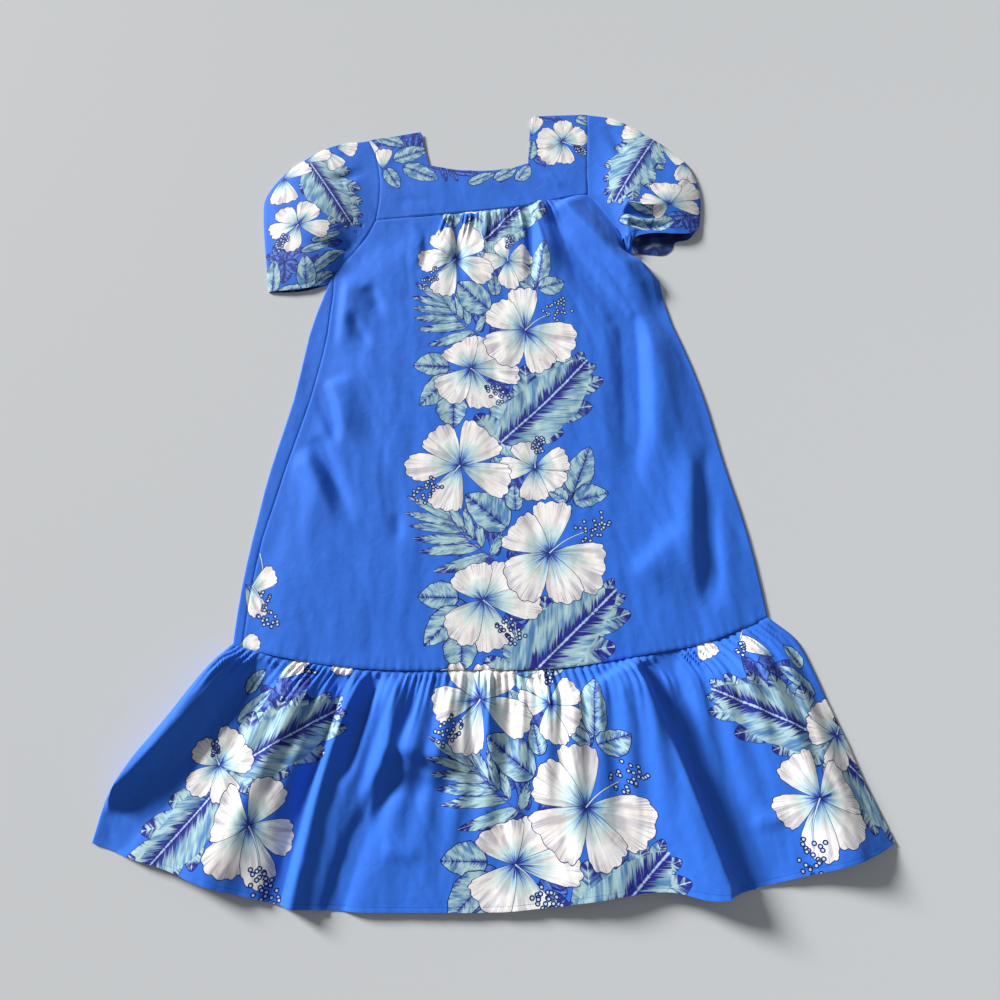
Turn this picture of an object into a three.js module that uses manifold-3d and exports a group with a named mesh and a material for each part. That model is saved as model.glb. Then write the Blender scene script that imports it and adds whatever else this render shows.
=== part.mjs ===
// A cotton maxi dress with a square-necked yoke, short puffed sleeves, an A-line body gathered into
// the yoke, and a gathered flounce at the hem. It lies face up on a flat surface.
// Millimetres. X runs to the right, Y towards the neck and Z up. Left and right are as seen from
// above. The tables are measured from the middle of the flounce seam, and the finished group is
// moved so that the middle of its outline is at the origin.

import * as THREE from 'three';
import { mergeVertices } from 'three/addons/utils/BufferGeometryUtils.js';
import Module from 'manifold-3d';

// Driving sizes
const CLOTH = 1.5; // wall of the cloth
const GAP = 0.3; // clearance between the front layer and the back layer
const SEAM_SHIFT = 0.2; // each piece stops this short of its seam line
const FRONT_FLOOR = CLOTH + GAP; // the front layer's underside never comes lower
const SOFT_FLOOR = 1; // height over which a trough flattens out on the layer below
const LEAST_UPRIGHT = 0.55; // limits how much thicker a steep slope is made, measured straight up
const FLOUNCE_DEPTH = 315; // from its seam to the hem
const WRAP_AT_ARMPIT = 4; // width of the back's turned-up edge where it starts

// Air under the front of the body and of the flounce, and how far in from an edge or a seam it and
// the folds take to reach their full height. The body's air lessens again towards the flounce.
const BODY_AIR = { rise: 7, edge: 60, seam: 110, folds: 14, lessFrom: 0.85, less: 0.4 };
const FLOUNCE_AIR = { rise: 7, edge: 50, seam: 60, folds: 12 };
// Gathers swell below their seam and die away at an uneven distance from it
const GATHER_SWELL = { start: 0.3, over: 12 };
const BODY_GATHER = { rise: 5, shortest: 55, longest: 170 };
const FLOUNCE_GATHER = { rise: 4.5, shortest: 60, longest: 150 };
// Soft waves run down the flounce from its gathers and are gone at the hem
const FLOUNCE_WAVES = { rise: 2.5, count: 25.4, seam: 60, hem: 220, edge: 30 };

// Numbers of steps along the seams. Pieces that meet share them, so that their edges match.
const YOKE_ARM_STEPS = 5;
const BODY_ARM_STOPS = [0, 0.06, 0.14, 0.27, 0.43, 0.62, 0.81, 1];
const SIDE_STEPS = 16;
const PLAIN_COLUMNS = 5; // of the body, on each side of its gathers
const YOKE_GATHERS = 14;
const COLUMNS = 2 * PLAIN_COLUMNS + 2 * YOKE_GATHERS;
const GATHERED = { from: 0.267, to: 0.869 }; // share of the yoke seam that is gathered
const SLEEVE_ROWS = 9;
const STRAP_STEPS = 4;
const NECK_STEPS = 10;
const BACK_COLUMNS = 8; // of the back's flat part, between its two seams
const FOLD_PIECES = 12; // straight pieces that stand for the curve of a fold

// Turns rows of numbers into rows with named columns
const table = (names, ...rows) =>
  rows.map((row) => Object.fromEntries(names.map((name, i) => [name, row[i]])));
const XY = ['x', 'y'];

// Seam lines and outlines, each smooth through its points
const YOKE_SEAM = table(XY, [-192, 811], [-94, 816], [-13, 820], [78, 827], [146, 840], [197, 848]);
const FLOUNCE_SEAM = table(
  XY, [-391, 53], [-328, 34], [-237, 16], [-156, 7], [-68, 3], [9, -1], [71, -2], [129, 2],
  [216, 12], [292, 22], [360, 42], [403, 58],
);
const NECK = {
  left: table(XY, [-107, 1006], [-100, 967], [-93, 930]),
  front: table(XY, [-93, 930], [-54, 918], [0, 911], [48, 913], [92, 923]),
  right: table(XY, [92, 923], [98, 981], [105, 1033]),
};
const ARMHOLE = {
  left: {
    yoke: table(XY, [-206, 992], [-193, 958], [-185, 902], [-186, 853], [-192, 811]),
    body: table(XY, [-192, 811], [-210, 775], [-234, 740], [-270, 696]),
  },
  right: {
    yoke: table(XY, [213, 1033], [209, 990], [205, 945], [200, 900], [197, 848]),
    body: table(XY, [197, 848], [212, 826], [235, 785], [249, 760], [254, 724]),
  },
};
// The left edge of the dress is a fold in the back piece. Its side seam lies further in, on top.
const LEFT_FOLD = table(
  XY, [-270, 696], [-283, 658], [-303, 595], [-315, 533], [-329, 459], [-348, 388], [-366, 319],
  [-379, 252], [-391, 188], [-400, 125], [-406, 60],
);
const LEFT_SEAM_INSET = table(
  ['along', 'inset'], [0, WRAP_AT_ARMPIT], [0.08, 20], [0.2, 33], [0.35, 29], [0.6, 24], [0.75, 16],
  [1, 15],
);
const RIGHT_SIDE = table(
  XY, [254, 724], [290, 690], [308, 655], [313, 595], [331, 531], [347, 469], [361, 395],
  [368, 337], [377, 281], [389, 213], [397, 148], [403, 58],
);
const FLOUNCE_LEFT = table(
  XY, [-406, 60], [-439, 31], [-467, -2], [-492, -35], [-518, -67], [-544, -99], [-570, -145],
  [-585, -205],
);
const FLOUNCE_RIGHT = table(
  XY, [403, 58], [440, 22], [458, -26], [471, -73], [489, -130], [500, -173], [515, -220],
  [529, -262],
);
const HEM = table(
  XY, [-585, -205], [-531, -226], [-475, -244], [-418, -266], [-363, -283], [-308, -298],
  [-227, -308], [-118, -314], [-37, -318], [17, -317], [99, -311], [155, -306], [209, -305],
  [263, -316], [319, -309], [376, -299], [433, -288], [491, -274], [529, -262],
);
const SLEEVES = {
  left: {
    side: -1,
    puff: 17,
    cuff: 0.2, // share of the puff that is left at the hem
    fold: table(
      XY, [-206, 992], [-279, 981], [-353, 931], [-393, 875], [-397, 830], [-391, 760],
      [-380, 669],
    ),
    under: table(XY, [-270, 696], [-278, 679]),
    frontHem: table(XY, [-380, 669], [-326, 670], [-278, 679]),
    backHem: table(XY, [-380, 669], [-326, 668], [-278, 679]),
  },
  right: {
    side: 1,
    puff: 18,
    cuff: 0.6,
    fold: table(
      XY, [213, 1033], [263, 1020], [324, 977], [384, 915], [402, 866], [403, 818], [394, 770],
    ),
    under: table(XY, [254, 724], [265, 714]),
    frontHem: table(
      XY, [394, 770], [384, 755], [367, 748], [343, 747], [310, 750], [286, 749], [272, 745],
      [266, 731], [265, 714],
    ),
    backHem: table(
      XY, [394, 770], [372, 743], [347, 737], [338, 722], [322, 711], [300, 713], [282, 715],
      [265, 714],
    ),
  },
};

// Large folds of the front, each along a curve through three points. Its rise is negative for a
// trough. Its two widths are on the left and on the right of the way it runs, and starts and ends
// are the shares of its length over which it grows and dies away.
const FOLD = [
  'x1', 'y1', 'x2', 'y2', 'x3', 'y3', 'rise', 'left', 'right', 'starts', 'ends',
];
const BODY_FOLDS = table(
  FOLD,
  [138, 834, 214, 724, 300, 596, 15, 34, 15, 0.1, 0.35],
  [113, 818, 184, 672, 243, 580, -6, 16, 24, 0.1, 0.1],
  [243, 600, 240, 440, 207, 222, -9, 16, 26, 0.1, 0.4],
  [276, 590, 272, 440, 256, 250, 8, 36, 14, 0.3, 0.5],
  [350, 350, 334, 210, 319, 60, -7, 15, 18, 0.3, 0.2],
  [318, 340, 304, 220, 292, 70, 6, 14, 26, 0.4, 0.3],
  [308, 212, 251, 163, 199, 115, 6, 36, 18, 0.3, 0.3],
  [262, 716, 298, 662, 308, 590, 7, 12, 20, 0.2, 0.5],
  [-240, 705, -243, 630, -252, 530, 10, 30, 8, 0.2, 0.4],
  [-262, 695, -262, 630, -274, 545, -5, 9, 9, 0.1, 0.3],
  [-291, 483, -270, 430, -252, 365, -6, 8, 9, 0.2, 0.3],
  [-270, 495, -249, 435, -232, 365, 6, 26, 9, 0.2, 0.4],
  [-292, 392, -262, 325, -225, 233, -7, 11, 12, 0.2, 0.4],
  [-314, 372, -286, 310, -252, 220, 7, 12, 22, 0.3, 0.4],
  [-158, 258, -156, 229, -153, 200, -6, 8, 10, 0.4, 0.4],
  [-210, 674, -192, 643, -185, 595, -4, 9, 14, 0.3, 0.4],
  [-239, 621, -220, 581, -199, 541, -4, 9, 14, 0.3, 0.4],
  [85, 818, 84, 735, 79, 640, -8, 9, 9, 0, 0.4],
  [104, 822, 109, 740, 106, 650, 8, 26, 11, 0, 0.5],
  [-88, 815, -100, 750, -110, 680, -6, 14, 9, 0, 0.4],
  [-46, 817, -44, 740, -40, 650, -6, 9, 9, 0, 0.5],
);
const FLOUNCE_FOLDS = table(
  FOLD,
  [-396, 50, -466, -45, -566, -140, 19, 16, 44, 0.1, 0],
  [-345, 36, -428, -70, -548, -196, -8, 30, 22, 0.1, 0],
  [-285, 18, -350, -120, -425, -270, 11, 42, 40, 0.2, 0],
  [-236, 10, -276, -125, -326, -290, -8, 12, 17, 0.05, 0],
  [-216, 8, -260, -120, -303, -296, 9, 14, 11, 0.05, 0],
  [-188, 6, -218, -90, -240, -150, -6, 9, 9, 0.05, 0.4],
  [-160, 4, -178, -110, -212, -215, 9, 12, 16, 0.1, 0.3],
  [-165, -128, -206, -190, -250, -300, -9, 22, 13, 0.25, 0],
  [-178, -92, -120, -110, -55, -128, 13, 44, 13, 0.3, 0.4],
  [-176, -134, -120, -152, -66, -168, -5, 10, 20, 0.2, 0.3],
  [-186, -236, -156, -240, -126, -246, 5, 16, 7, 0.3, 0.3],
  [-50, -2, -53, -70, -56, -140, -6, 8, 8, 0, 0.4],
  [-26, -2, -29, -75, -32, -140, 8, 10, 10, 0, 0.5],
  [66, -4, 92, -140, 112, -300, 9, 60, 60, 0.3, 0],
  [182, 6, 226, -108, 284, -305, 21, 12, 62, 0.05, 0],
  [205, 2, 256, -120, 318, -290, -9, 40, 14, 0.05, 0],
  [300, 20, 388, -90, 458, -270, 15, 44, 44, 0.3, 0],
  [330, -222, 356, -226, 382, -216, 5, 14, 6, 0.3, 0.3],
);
const SLEEVE_FOLDS = table(
  FOLD,
  [258, 802, 292, 786, 332, 784, -6, 6, 7, 0.1, 0.5],
  [262, 778, 302, 766, 350, 770, -6, 6, 7, 0.1, 0.5],
  [256, 812, 296, 802, 345, 806, 5, 9, 6, 0.1, 0.5],
  [240, 1008, 262, 960, 274, 900, -5, 8, 10, 0.2, 0.5],
  [-262, 952, -236, 970, -212, 982, -4, 8, 7, 0.4, 0.2],
  [-206, 930, -246, 906, -290, 900, -4, 9, 9, 0.1, 0.5],
  [-212, 760, -262, 752, -320, 764, -5, 8, 9, 0.1, 0.5],
);

const smooth = (k) => THREE.MathUtils.smoothstep(k, 0, 1);
// An uneven share from 0 to 1 for the gather of that number
const uneven = (number, kind) => {
  const wild = Math.sin(number * 12.9898 + kind * 78.233) * 43758.5453;
  return wild - Math.floor(wild);
};

// Points along a smooth line at the given shares of its length
function stations(rows, shares) {
  const line = new THREE.CatmullRomCurve3(
    rows.map(({ x, y }) => new THREE.Vector3(x, y, 0)), false, 'catmullrom', 0.5,
  );
  return shares.map((share) => {
    const { x, y } = line.getPointAt(share);
    return new THREE.Vector2(x, y);
  });
}

const evenly = (steps) => Array.from({ length: steps + 1 }, (_, i) => i / steps);
const moved = (points, dx, dy) => points.map(({ x, y }) => new THREE.Vector2(x + dx, y + dy));
const marked = (points, marks) => points.map(({ x, y }, i) => ({ at: marks[i], x, y }));

// The point of a marked line at a mark, on the straight stretch between its neighbours
function pick(line, at) {
  const last = line.length - 1;
  let i = 1;
  while (i < last && line[i].at < at) i += 1;
  const [a, b] = [line[i - 1], line[i]];
  const share = THREE.MathUtils.clamp((at - a.at) / (b.at - a.at), 0, 1);
  return new THREE.Vector2(a.x + (b.x - a.x) * share, a.y + (b.y - a.y) * share);
}

// A flat panel between four marked lines, as a function of its shares across and down. Each
// corner keeps the side line's x and the top or bottom line's y.
function panel({ top, bottom, left, right }) {
  const end = (line) => line[line.length - 1];
  for (const [level, across, side, down] of [
    [top, 0, left, 0], [top, -1, right, 0], [bottom, 0, left, -1], [bottom, -1, right, -1],
  ]) {
    const corner = level.at(across);
    const beside = side.at(down);
    corner.x = beside.x;
    beside.y = corner.y;
  }
  const corners = [top[0], end(top), bottom[0], end(bottom)].map(({ x, y }) => [x, y]);
  return (s, t) => {
    const [a, b, l, r] = [pick(top, s), pick(bottom, s), pick(left, t), pick(right, t)];
    const mix = (axis, k) =>
      (1 - t) * a[axis] + t * b[axis] + (1 - s) * l[axis] + s * r[axis]
      - (1 - t) * ((1 - s) * corners[0][k] + s * corners[1][k])
      - t * ((1 - s) * corners[2][k] + s * corners[3][k]);
    return new THREE.Vector2(mix('x', 0), mix('y', 1));
  };
}

// Height that a table of folds gives at a point
function foldHeight(folds, point) {
  return folds.reduce((sum, fold) => {
    const [from, through, to] = [1, 2, 3].map((n) => new THREE.Vector2(fold[`x${n}`], fold[`y${n}`]));
    const control = through.multiplyScalar(2).sub(from.clone().add(to).multiplyScalar(0.5));
    const curve = new THREE.QuadraticBezierCurve(from, control, to);
    let nearest = { distance: Infinity };
    for (let i = 0; i < FOLD_PIECES; i += 1) {
      const a = curve.getPoint(i / FOLD_PIECES);
      const way = curve.getPoint((i + 1) / FOLD_PIECES).sub(a);
      const off = point.clone().sub(a);
      const share = THREE.MathUtils.clamp(off.dot(way) / way.lengthSq(), 0, 1);
      const distance = off.clone().addScaledVector(way, -share).length();
      if (distance < nearest.distance) {
        nearest = { distance, at: (i + share) / FOLD_PIECES, left: way.cross(off) > 0 };
      }
    }
    const width = nearest.left ? fold.left : fold.right;
    const grown = fold.starts ? smooth(nearest.at / fold.starts) : 1;
    const alive = fold.ends ? smooth((1 - nearest.at) / fold.ends) : 1;
    return sum + fold.rise * grown * alive * Math.exp(-((nearest.distance / width) ** 2));
  }, 0);
}

// Height of the front layer's underside, which settles softly on the layer below
const settled = (height) =>
  FRONT_FLOOR
  + (height > SOFT_FLOOR ? height : SOFT_FLOOR * Math.exp(height / SOFT_FLOOR - 1));

// Height of one gather at a distance below its seam. It swells at once and dies away unevenly.
function gatherHeight(number, distance, { rise, shortest, longest }) {
  const { start, over } = GATHER_SWELL;
  const reach = shortest + (longest - shortest) * uneven(number, 1);
  const swell = start + (1 - start) * smooth(distance / over);
  return rise * (0.7 + 0.6 * uneven(number, 2)) * swell * smooth(1 - distance / reach);
}

// Triangles between two rows of marked vertices, facing up when the rows run to the right
function between(upper, lower, add) {
  let i = 0;
  let j = 0;
  while (i < upper.length - 1 || j < lower.length - 1) {
    const nextUpper = i < upper.length - 1 ? upper[i + 1].at : Infinity;
    const nextLower = j < lower.length - 1 ? lower[j + 1].at : Infinity;
    if (nextUpper <= nextLower) {
      add(upper[i], lower[j], upper[i + 1]);
      i += 1;
    } else {
      add(upper[i], lower[j], lower[j + 1]);
      j += 1;
    }
  }
}

function geometryOf(corners) {
  const geometry = new THREE.BufferGeometry();
  geometry.setAttribute('position', new THREE.Float32BufferAttribute(corners.flat(), 3));
  return geometry;
}

// One closed wall from rows of vertices { at, x, y, z }, where z is its underside. It is thicker
// straight up where it is steep, so that the cloth keeps its thickness.
function wall(rows) {
  const vertices = rows.flat();
  for (const vertex of vertices) vertex.normal = new THREE.Vector3();
  const faces = [];
  for (let r = 0; r < rows.length - 1; r += 1) {
    between(rows[r], rows[r + 1], (...face) => faces.push(face));
  }
  for (const face of faces) {
    const [a, b, c] = face.map(({ x, y, z }) => new THREE.Vector3(x, y, z));
    const normal = b.sub(a).cross(c.sub(a));
    for (const vertex of face) vertex.normal.add(normal);
  }
  for (const vertex of vertices) {
    const upright = Math.max(vertex.normal.normalize().z, LEAST_UPRIGHT);
    vertex.low = [vertex.x, vertex.y, vertex.z];
    vertex.high = [vertex.x, vertex.y, vertex.z + CLOTH / upright];
  }
  const corners = [];
  for (const [a, b, c] of faces) {
    corners.push(a.high, b.high, c.high, c.low, b.low, a.low);
  }
  const rim = (line) => {
    for (let i = 0; i < line.length - 1; i += 1) {
      const [a, b] = [line[i], line[i + 1]];
      corners.push(a.high, b.high, b.low, a.high, b.low, a.low);
    }
  };
  rim(rows[0]);
  rim(rows.map((row) => row[row.length - 1]));
  rim([...rows[rows.length - 1]].reverse());
  rim(rows.map((row) => row[0]).reverse());
  return geometryOf(corners);
}

// One closed tube wall from rows of matching outer and inner rings of [x, y, z]
function tubeWall(rings) {
  const corners = [];
  const quad = (a, b, c, d) => corners.push(a, b, c, a, c, d);
  const around = rings[0].outer.length;
  for (let i = 0; i < around; i += 1) {
    const j = (i + 1) % around;
    for (let r = 0; r < rings.length - 1; r += 1) {
      const [a, b] = [rings[r], rings[r + 1]];
      quad(a.outer[i], b.outer[i], b.outer[j], a.outer[j]);
      quad(a.inner[j], b.inner[j], b.inner[i], a.inner[i]);
    }
    const [first, last] = [rings[0], rings[rings.length - 1]];
    quad(first.outer[i], first.outer[j], first.inner[j], first.inner[i]);
    quad(last.outer[j], last.outer[i], last.inner[i], last.inner[j]);
  }
  return geometryOf(corners);
}

// Turns every face round if the closed shape is inside out
function facingOut(geometry) {
  const { array } = geometry.attributes.position;
  let volume = 0;
  for (let i = 0; i < array.length; i += 9) {
    const [a, b, c] = [0, 3, 6].map((k) => new THREE.Vector3().fromArray(array, i + k));
    volume += a.dot(b.cross(c));
  }
  if (volume > 0) return geometry;
  const corners = [];
  for (let i = 0; i < array.length; i += 9) {
    for (const k of [6, 3, 0]) corners.push([...array.slice(i + k, i + k + 3)]);
  }
  return geometryOf(corners);
}

// Columns of the yoke seam: plain at both ends, and two for each gather between them
const COLUMN_SHARES = Array.from({ length: COLUMNS + 1 }, (_, i) => {
  const { from, to } = GATHERED;
  if (i <= PLAIN_COLUMNS) return (from * i) / PLAIN_COLUMNS;
  if (i >= COLUMNS - PLAIN_COLUMNS) return 1 - ((1 - to) * (COLUMNS - i)) / PLAIN_COLUMNS;
  return from + ((to - from) * (i - PLAIN_COLUMNS)) / (2 * YOKE_GATHERS);
});
const yokeSeam = stations(YOKE_SEAM, COLUMN_SHARES);
const armhole = (side) => ({
  yoke: stations(ARMHOLE[side].yoke, evenly(YOKE_ARM_STEPS)),
  body: stations(ARMHOLE[side].body, BODY_ARM_STOPS),
});
const armLeft = armhole('left');
const armRight = armhole('right');
const leftFold = stations(LEFT_FOLD, evenly(SIDE_STEPS));
const rightSide = stations(RIGHT_SIDE, evenly(SIDE_STEPS));
const leftSeam = leftFold.map(({ x, y }, i) => {
  const insets = LEFT_SEAM_INSET.map(({ along, inset }) => ({ at: along, x: inset, y: 0 }));
  return new THREE.Vector2(x + pick(insets, i / SIDE_STEPS).x, y);
});
const flounceSeam = stations(FLOUNCE_SEAM, evenly(COLUMNS));
leftSeam[SIDE_STEPS].copy(flounceSeam[0]);
const wholeFlounceSeam = [leftFold[SIDE_STEPS], ...flounceSeam];

// Shares down the body for each of its rows, from the lengths of its left and right edges
const leftEdge = [...armLeft.body, ...leftFold.slice(1)];
const rightEdge = [...armRight.body, ...rightSide.slice(1)];
const bodyRows = (() => {
  const lengths = [leftEdge, rightEdge].map((edge) => {
    const sums = [0];
    for (let i = 1; i < edge.length; i += 1) sums.push(sums[i - 1] + edge[i].distanceTo(edge[i - 1]));
    return sums.map((sum) => sum / sums[sums.length - 1]);
  });
  return lengths[0].map((share, i) => (share + lengths[1][i]) / 2);
})();

const frontBodyPlan = panel({
  top: marked(moved(yokeSeam, 0, -SEAM_SHIFT), evenly(COLUMNS)),
  bottom: marked(moved(flounceSeam, 0, SEAM_SHIFT), evenly(COLUMNS)),
  left: marked(moved([...armLeft.body.slice(0, -1), ...leftSeam], SEAM_SHIFT, 0), bodyRows),
  right: marked(moved(rightEdge, -SEAM_SHIFT, 0), bodyRows),
});

function frontBodyHeight(s, t) {
  const point = frontBodyPlan(s, t);
  const below = point.distanceTo(frontBodyPlan(s, 0));
  const width = frontBodyPlan(1, t).distanceTo(frontBodyPlan(0, t));
  const inFromEdge = Math.min(s, 1 - s) * width;
  const column = s * COLUMNS - PLAIN_COLUMNS;
  const gathered = column > 0 && column < 2 * YOKE_GATHERS && Math.round(column) % 2 === 1;
  const gather = gathered ? gatherHeight(Math.round(column), below, BODY_GATHER) : 0;
  const { rise, edge, seam, folds, lessFrom, less } = BODY_AIR;
  const puff = rise * smooth(inFromEdge / edge) * smooth(below / seam)
    * (1 - less * smooth((t - lessFrom) / (1 - lessFrom)));
  return settled(puff + gather + foldHeight(BODY_FOLDS, point) * smooth(inFromEdge / folds));
}

function frontBody() {
  return wall(bodyRows.map((t) => evenly(COLUMNS).map((s) => {
    const { x, y } = frontBodyPlan(s, t);
    return { at: s, x, y, z: frontBodyHeight(s, t) };
  })));
}

// The back of the body is flat on the ground. Along the left fold it turns up and over to its seam.
async function backBody() {
  const plan = panel({
    top: marked(moved(yokeSeam, 0, -SEAM_SHIFT), evenly(COLUMNS)),
    bottom: marked(moved(wholeFlounceSeam, 0, SEAM_SHIFT), evenly(COLUMNS + 1)),
    left: marked(moved(leftEdge, SEAM_SHIFT, 0), bodyRows),
    right: marked(moved(rightEdge, -SEAM_SHIFT, 0), bodyRows),
  });
  const flat = wall(bodyRows.map((t, r) => {
    const columns = { 0: COLUMNS, [bodyRows.length - 1]: COLUMNS + 1 }[r] ?? BACK_COLUMNS;
    return evenly(columns).map((s) => {
      const { x, y } = plan(s, t);
      return { at: s, x, y, z: 0 };
    });
  }));
  const top = settled(0);
  const rings = leftFold.map(({ y }, i) => {
    const fold = plan(0, bodyRows[BODY_ARM_STOPS.length - 1 + i]).x;
    const seam = leftSeam[i].x - SEAM_SHIFT;
    const level = i < SIDE_STEPS ? y : y + SEAM_SHIFT;
    const seamLevel = i < SIDE_STEPS ? y : flounceSeam[0].y + SEAM_SHIFT;
    return [
      [fold, level, 0], [fold + 2 * CLOTH, level, 0], [fold + 2 * CLOTH, level, CLOTH / 2],
      [fold + CLOTH, level, CLOTH / 2], [fold + CLOTH, level, top], [seam, seamLevel, top],
      [seam, seamLevel, top + CLOTH], [fold, level, top + CLOTH],
    ];
  });
  const corners = [];
  const quad = (a, b, c, d) => corners.push(a, b, c, a, c, d);
  for (let r = 0; r < rings.length - 1; r += 1) {
    for (let i = 0; i < rings[r].length; i += 1) {
      const j = (i + 1) % rings[r].length;
      quad(rings[r][i], rings[r][j], rings[r + 1][j], rings[r + 1][i]);
    }
  }
  for (const ring of [rings[0], [...rings[rings.length - 1]].reverse()]) {
    const [a, b, c, d, e, f, g, h] = ring === rings[0] ? ring : [...ring].reverse();
    const cap = [[a, b, c], [a, c, d], [a, d, h], [d, e, h], [e, g, h], [e, f, g]];
    for (const face of cap) corners.push(...(ring === rings[0] ? [...face].reverse() : face));
  }
  return joined(flat, facingOut(geometryOf(corners)));
}

// Joins two closed shapes into one
async function joined(...shapes) {
  const wasm = await Module();
  wasm.setup();
  const [first, ...rest] = shapes.map((shape) => {
    const merged = mergeVertices(shape, 1e-4);
    return new wasm.Manifold(new wasm.Mesh({
      numProp: 3,
      vertProperties: merged.attributes.position.array,
      triVerts: new Uint32Array(merged.index.array),
    }));
  });
  const { vertProperties, triVerts } = rest.reduce((sum, shape) => sum.add(shape), first).getMesh();
  const geometry = new THREE.BufferGeometry();
  geometry.setAttribute('position', new THREE.BufferAttribute(vertProperties, 3));
  geometry.setIndex(new THREE.BufferAttribute(triVerts, 1));
  return geometry;
}

// A yoke runs as a U: down the left strap, under the neck and up the right strap. Its rows go from
// the neck edge out to the armholes and the yoke seam.
function yoke(low) {
  const neckShares = [...evenly(STRAP_STEPS), ...evenly(NECK_STEPS).slice(1).map((k) => 1 + k),
    ...evenly(STRAP_STEPS).slice(1).map((k) => 2 + k)];
  const neck = marked(
    [...stations(NECK.left, evenly(STRAP_STEPS)),
      ...stations(NECK.front, evenly(NECK_STEPS)).slice(1),
      ...stations(NECK.right, evenly(STRAP_STEPS)).slice(1)],
    neckShares,
  );
  const outerShares = [...evenly(YOKE_ARM_STEPS), ...evenly(COLUMNS).slice(1).map((k) => 1 + k),
    ...evenly(YOKE_ARM_STEPS).slice(1).map((k) => 2 + k)];
  const outer = marked(
    [...moved(armLeft.yoke, SEAM_SHIFT, 0).slice(0, -1), ...moved(yokeSeam, 0, SEAM_SHIFT),
      ...moved([...armRight.yoke].reverse(), -SEAM_SHIFT, 0).slice(1)],
    outerShares,
  );
  const rowAt = (share, shares) => shares.map((at) => {
    const { x, y } = pick(neck, at).lerp(pick(outer, at), share);
    return { at, x, y, z: low };
  });
  return wall([rowAt(0, neckShares), rowAt(1 / 3, neckShares), rowAt(2 / 3, neckShares),
    rowAt(1, outerShares)]);
}

// The flounce fans out from its seam to the hem
const flouncePlan = panel({
  top: marked(moved(wholeFlounceSeam, 0, -SEAM_SHIFT), evenly(COLUMNS + 1)),
  bottom: marked(stations(HEM, evenly(4 * COLUMNS)), evenly(4 * COLUMNS)),
  left: marked(stations(FLOUNCE_LEFT, evenly(SIDE_STEPS)), evenly(SIDE_STEPS)),
  right: marked(stations(FLOUNCE_RIGHT, evenly(SIDE_STEPS)), evenly(SIDE_STEPS)),
});
// Rows of the front, with finer columns where it is gathered, so that each gather has its ridge
const FLOUNCE_GATHERS = 2 * (COLUMNS + 1);
const FLOUNCE_BACK_ROWS = 5;
const FLOUNCE_ROWS = table(
  ['down', 'ridges'],
  [0, true], [6, true], [15, true], [30, true], [52, true], [82, true], [118, false],
  [160, false], [205, false], [258, false], [FLOUNCE_DEPTH, false],
);

function flounceHeight(s, down) {
  const t = down / FLOUNCE_DEPTH;
  const width = flouncePlan(1, t).distanceTo(flouncePlan(0, t));
  const inFromEdge = Math.min(s, 1 - s) * width;
  const { rise, edge, seam, folds } = FLOUNCE_AIR;
  const puff = rise * smooth(inFromEdge / edge) * smooth(down / seam);
  const waves = FLOUNCE_WAVES.rise * (1 - Math.cos(FLOUNCE_WAVES.count * s * 2 * Math.PI))
    * smooth(down / FLOUNCE_WAVES.seam) * smooth((FLOUNCE_DEPTH - down) / FLOUNCE_WAVES.hem)
    * smooth(inFromEdge / FLOUNCE_WAVES.edge);
  const fold = foldHeight(FLOUNCE_FOLDS, flouncePlan(s, t)) * smooth(inFromEdge / folds)
    * smooth((down + folds) / (3 * folds));
  return puff + waves + fold;
}

function flounceFront() {
  return wall(FLOUNCE_ROWS.map(({ down, ridges }) => {
    const columns = ridges ? 2 * FLOUNCE_GATHERS : FLOUNCE_GATHERS;
    return evenly(columns).map((s, i) => {
      const { x, y } = flouncePlan(s, down / FLOUNCE_DEPTH);
      const onRidge = ridges && i % 2 === 1;
      const gather = onRidge ? gatherHeight((i - 1) / 2, down, FLOUNCE_GATHER) : 0;
      return { at: s, x, y, z: settled(flounceHeight(s, down) + gather) };
    });
  }));
}

function flounceBack() {
  return wall(evenly(FLOUNCE_BACK_ROWS).map((t) => evenly(COLUMNS + 1).map((s) => {
    const { x, y } = flouncePlan(s, t);
    return { at: s, x, y, z: 0 };
  })));
}

// A sleeve's puff grows over the first share of its length and sinks to the cuff from the second on.
// Its folds fade towards the tube's two edges and the armhole.
const SLEEVE_PUFF = { roundness: 0.7, growsOver: 0.4, sinksFrom: 0.55, foldEdge: 0.15, foldTop: 0.2 };

function sleeveHeight(s, t, point, { puff, cuff }) {
  const { roundness, growsOver, sinksFrom, foldEdge, foldTop } = SLEEVE_PUFF;
  const rise = puff * Math.sin(Math.PI * s) ** roundness * smooth(t / growsOver)
    * (1 - (1 - cuff) * smooth((t - sinksFrom) / (1 - sinksFrom)));
  const fold = foldHeight(SLEEVE_FOLDS, point) * smooth(Math.min(s, 1 - s) / foldEdge)
    * smooth(t / foldTop);
  return settled(rise + fold);
}

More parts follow.
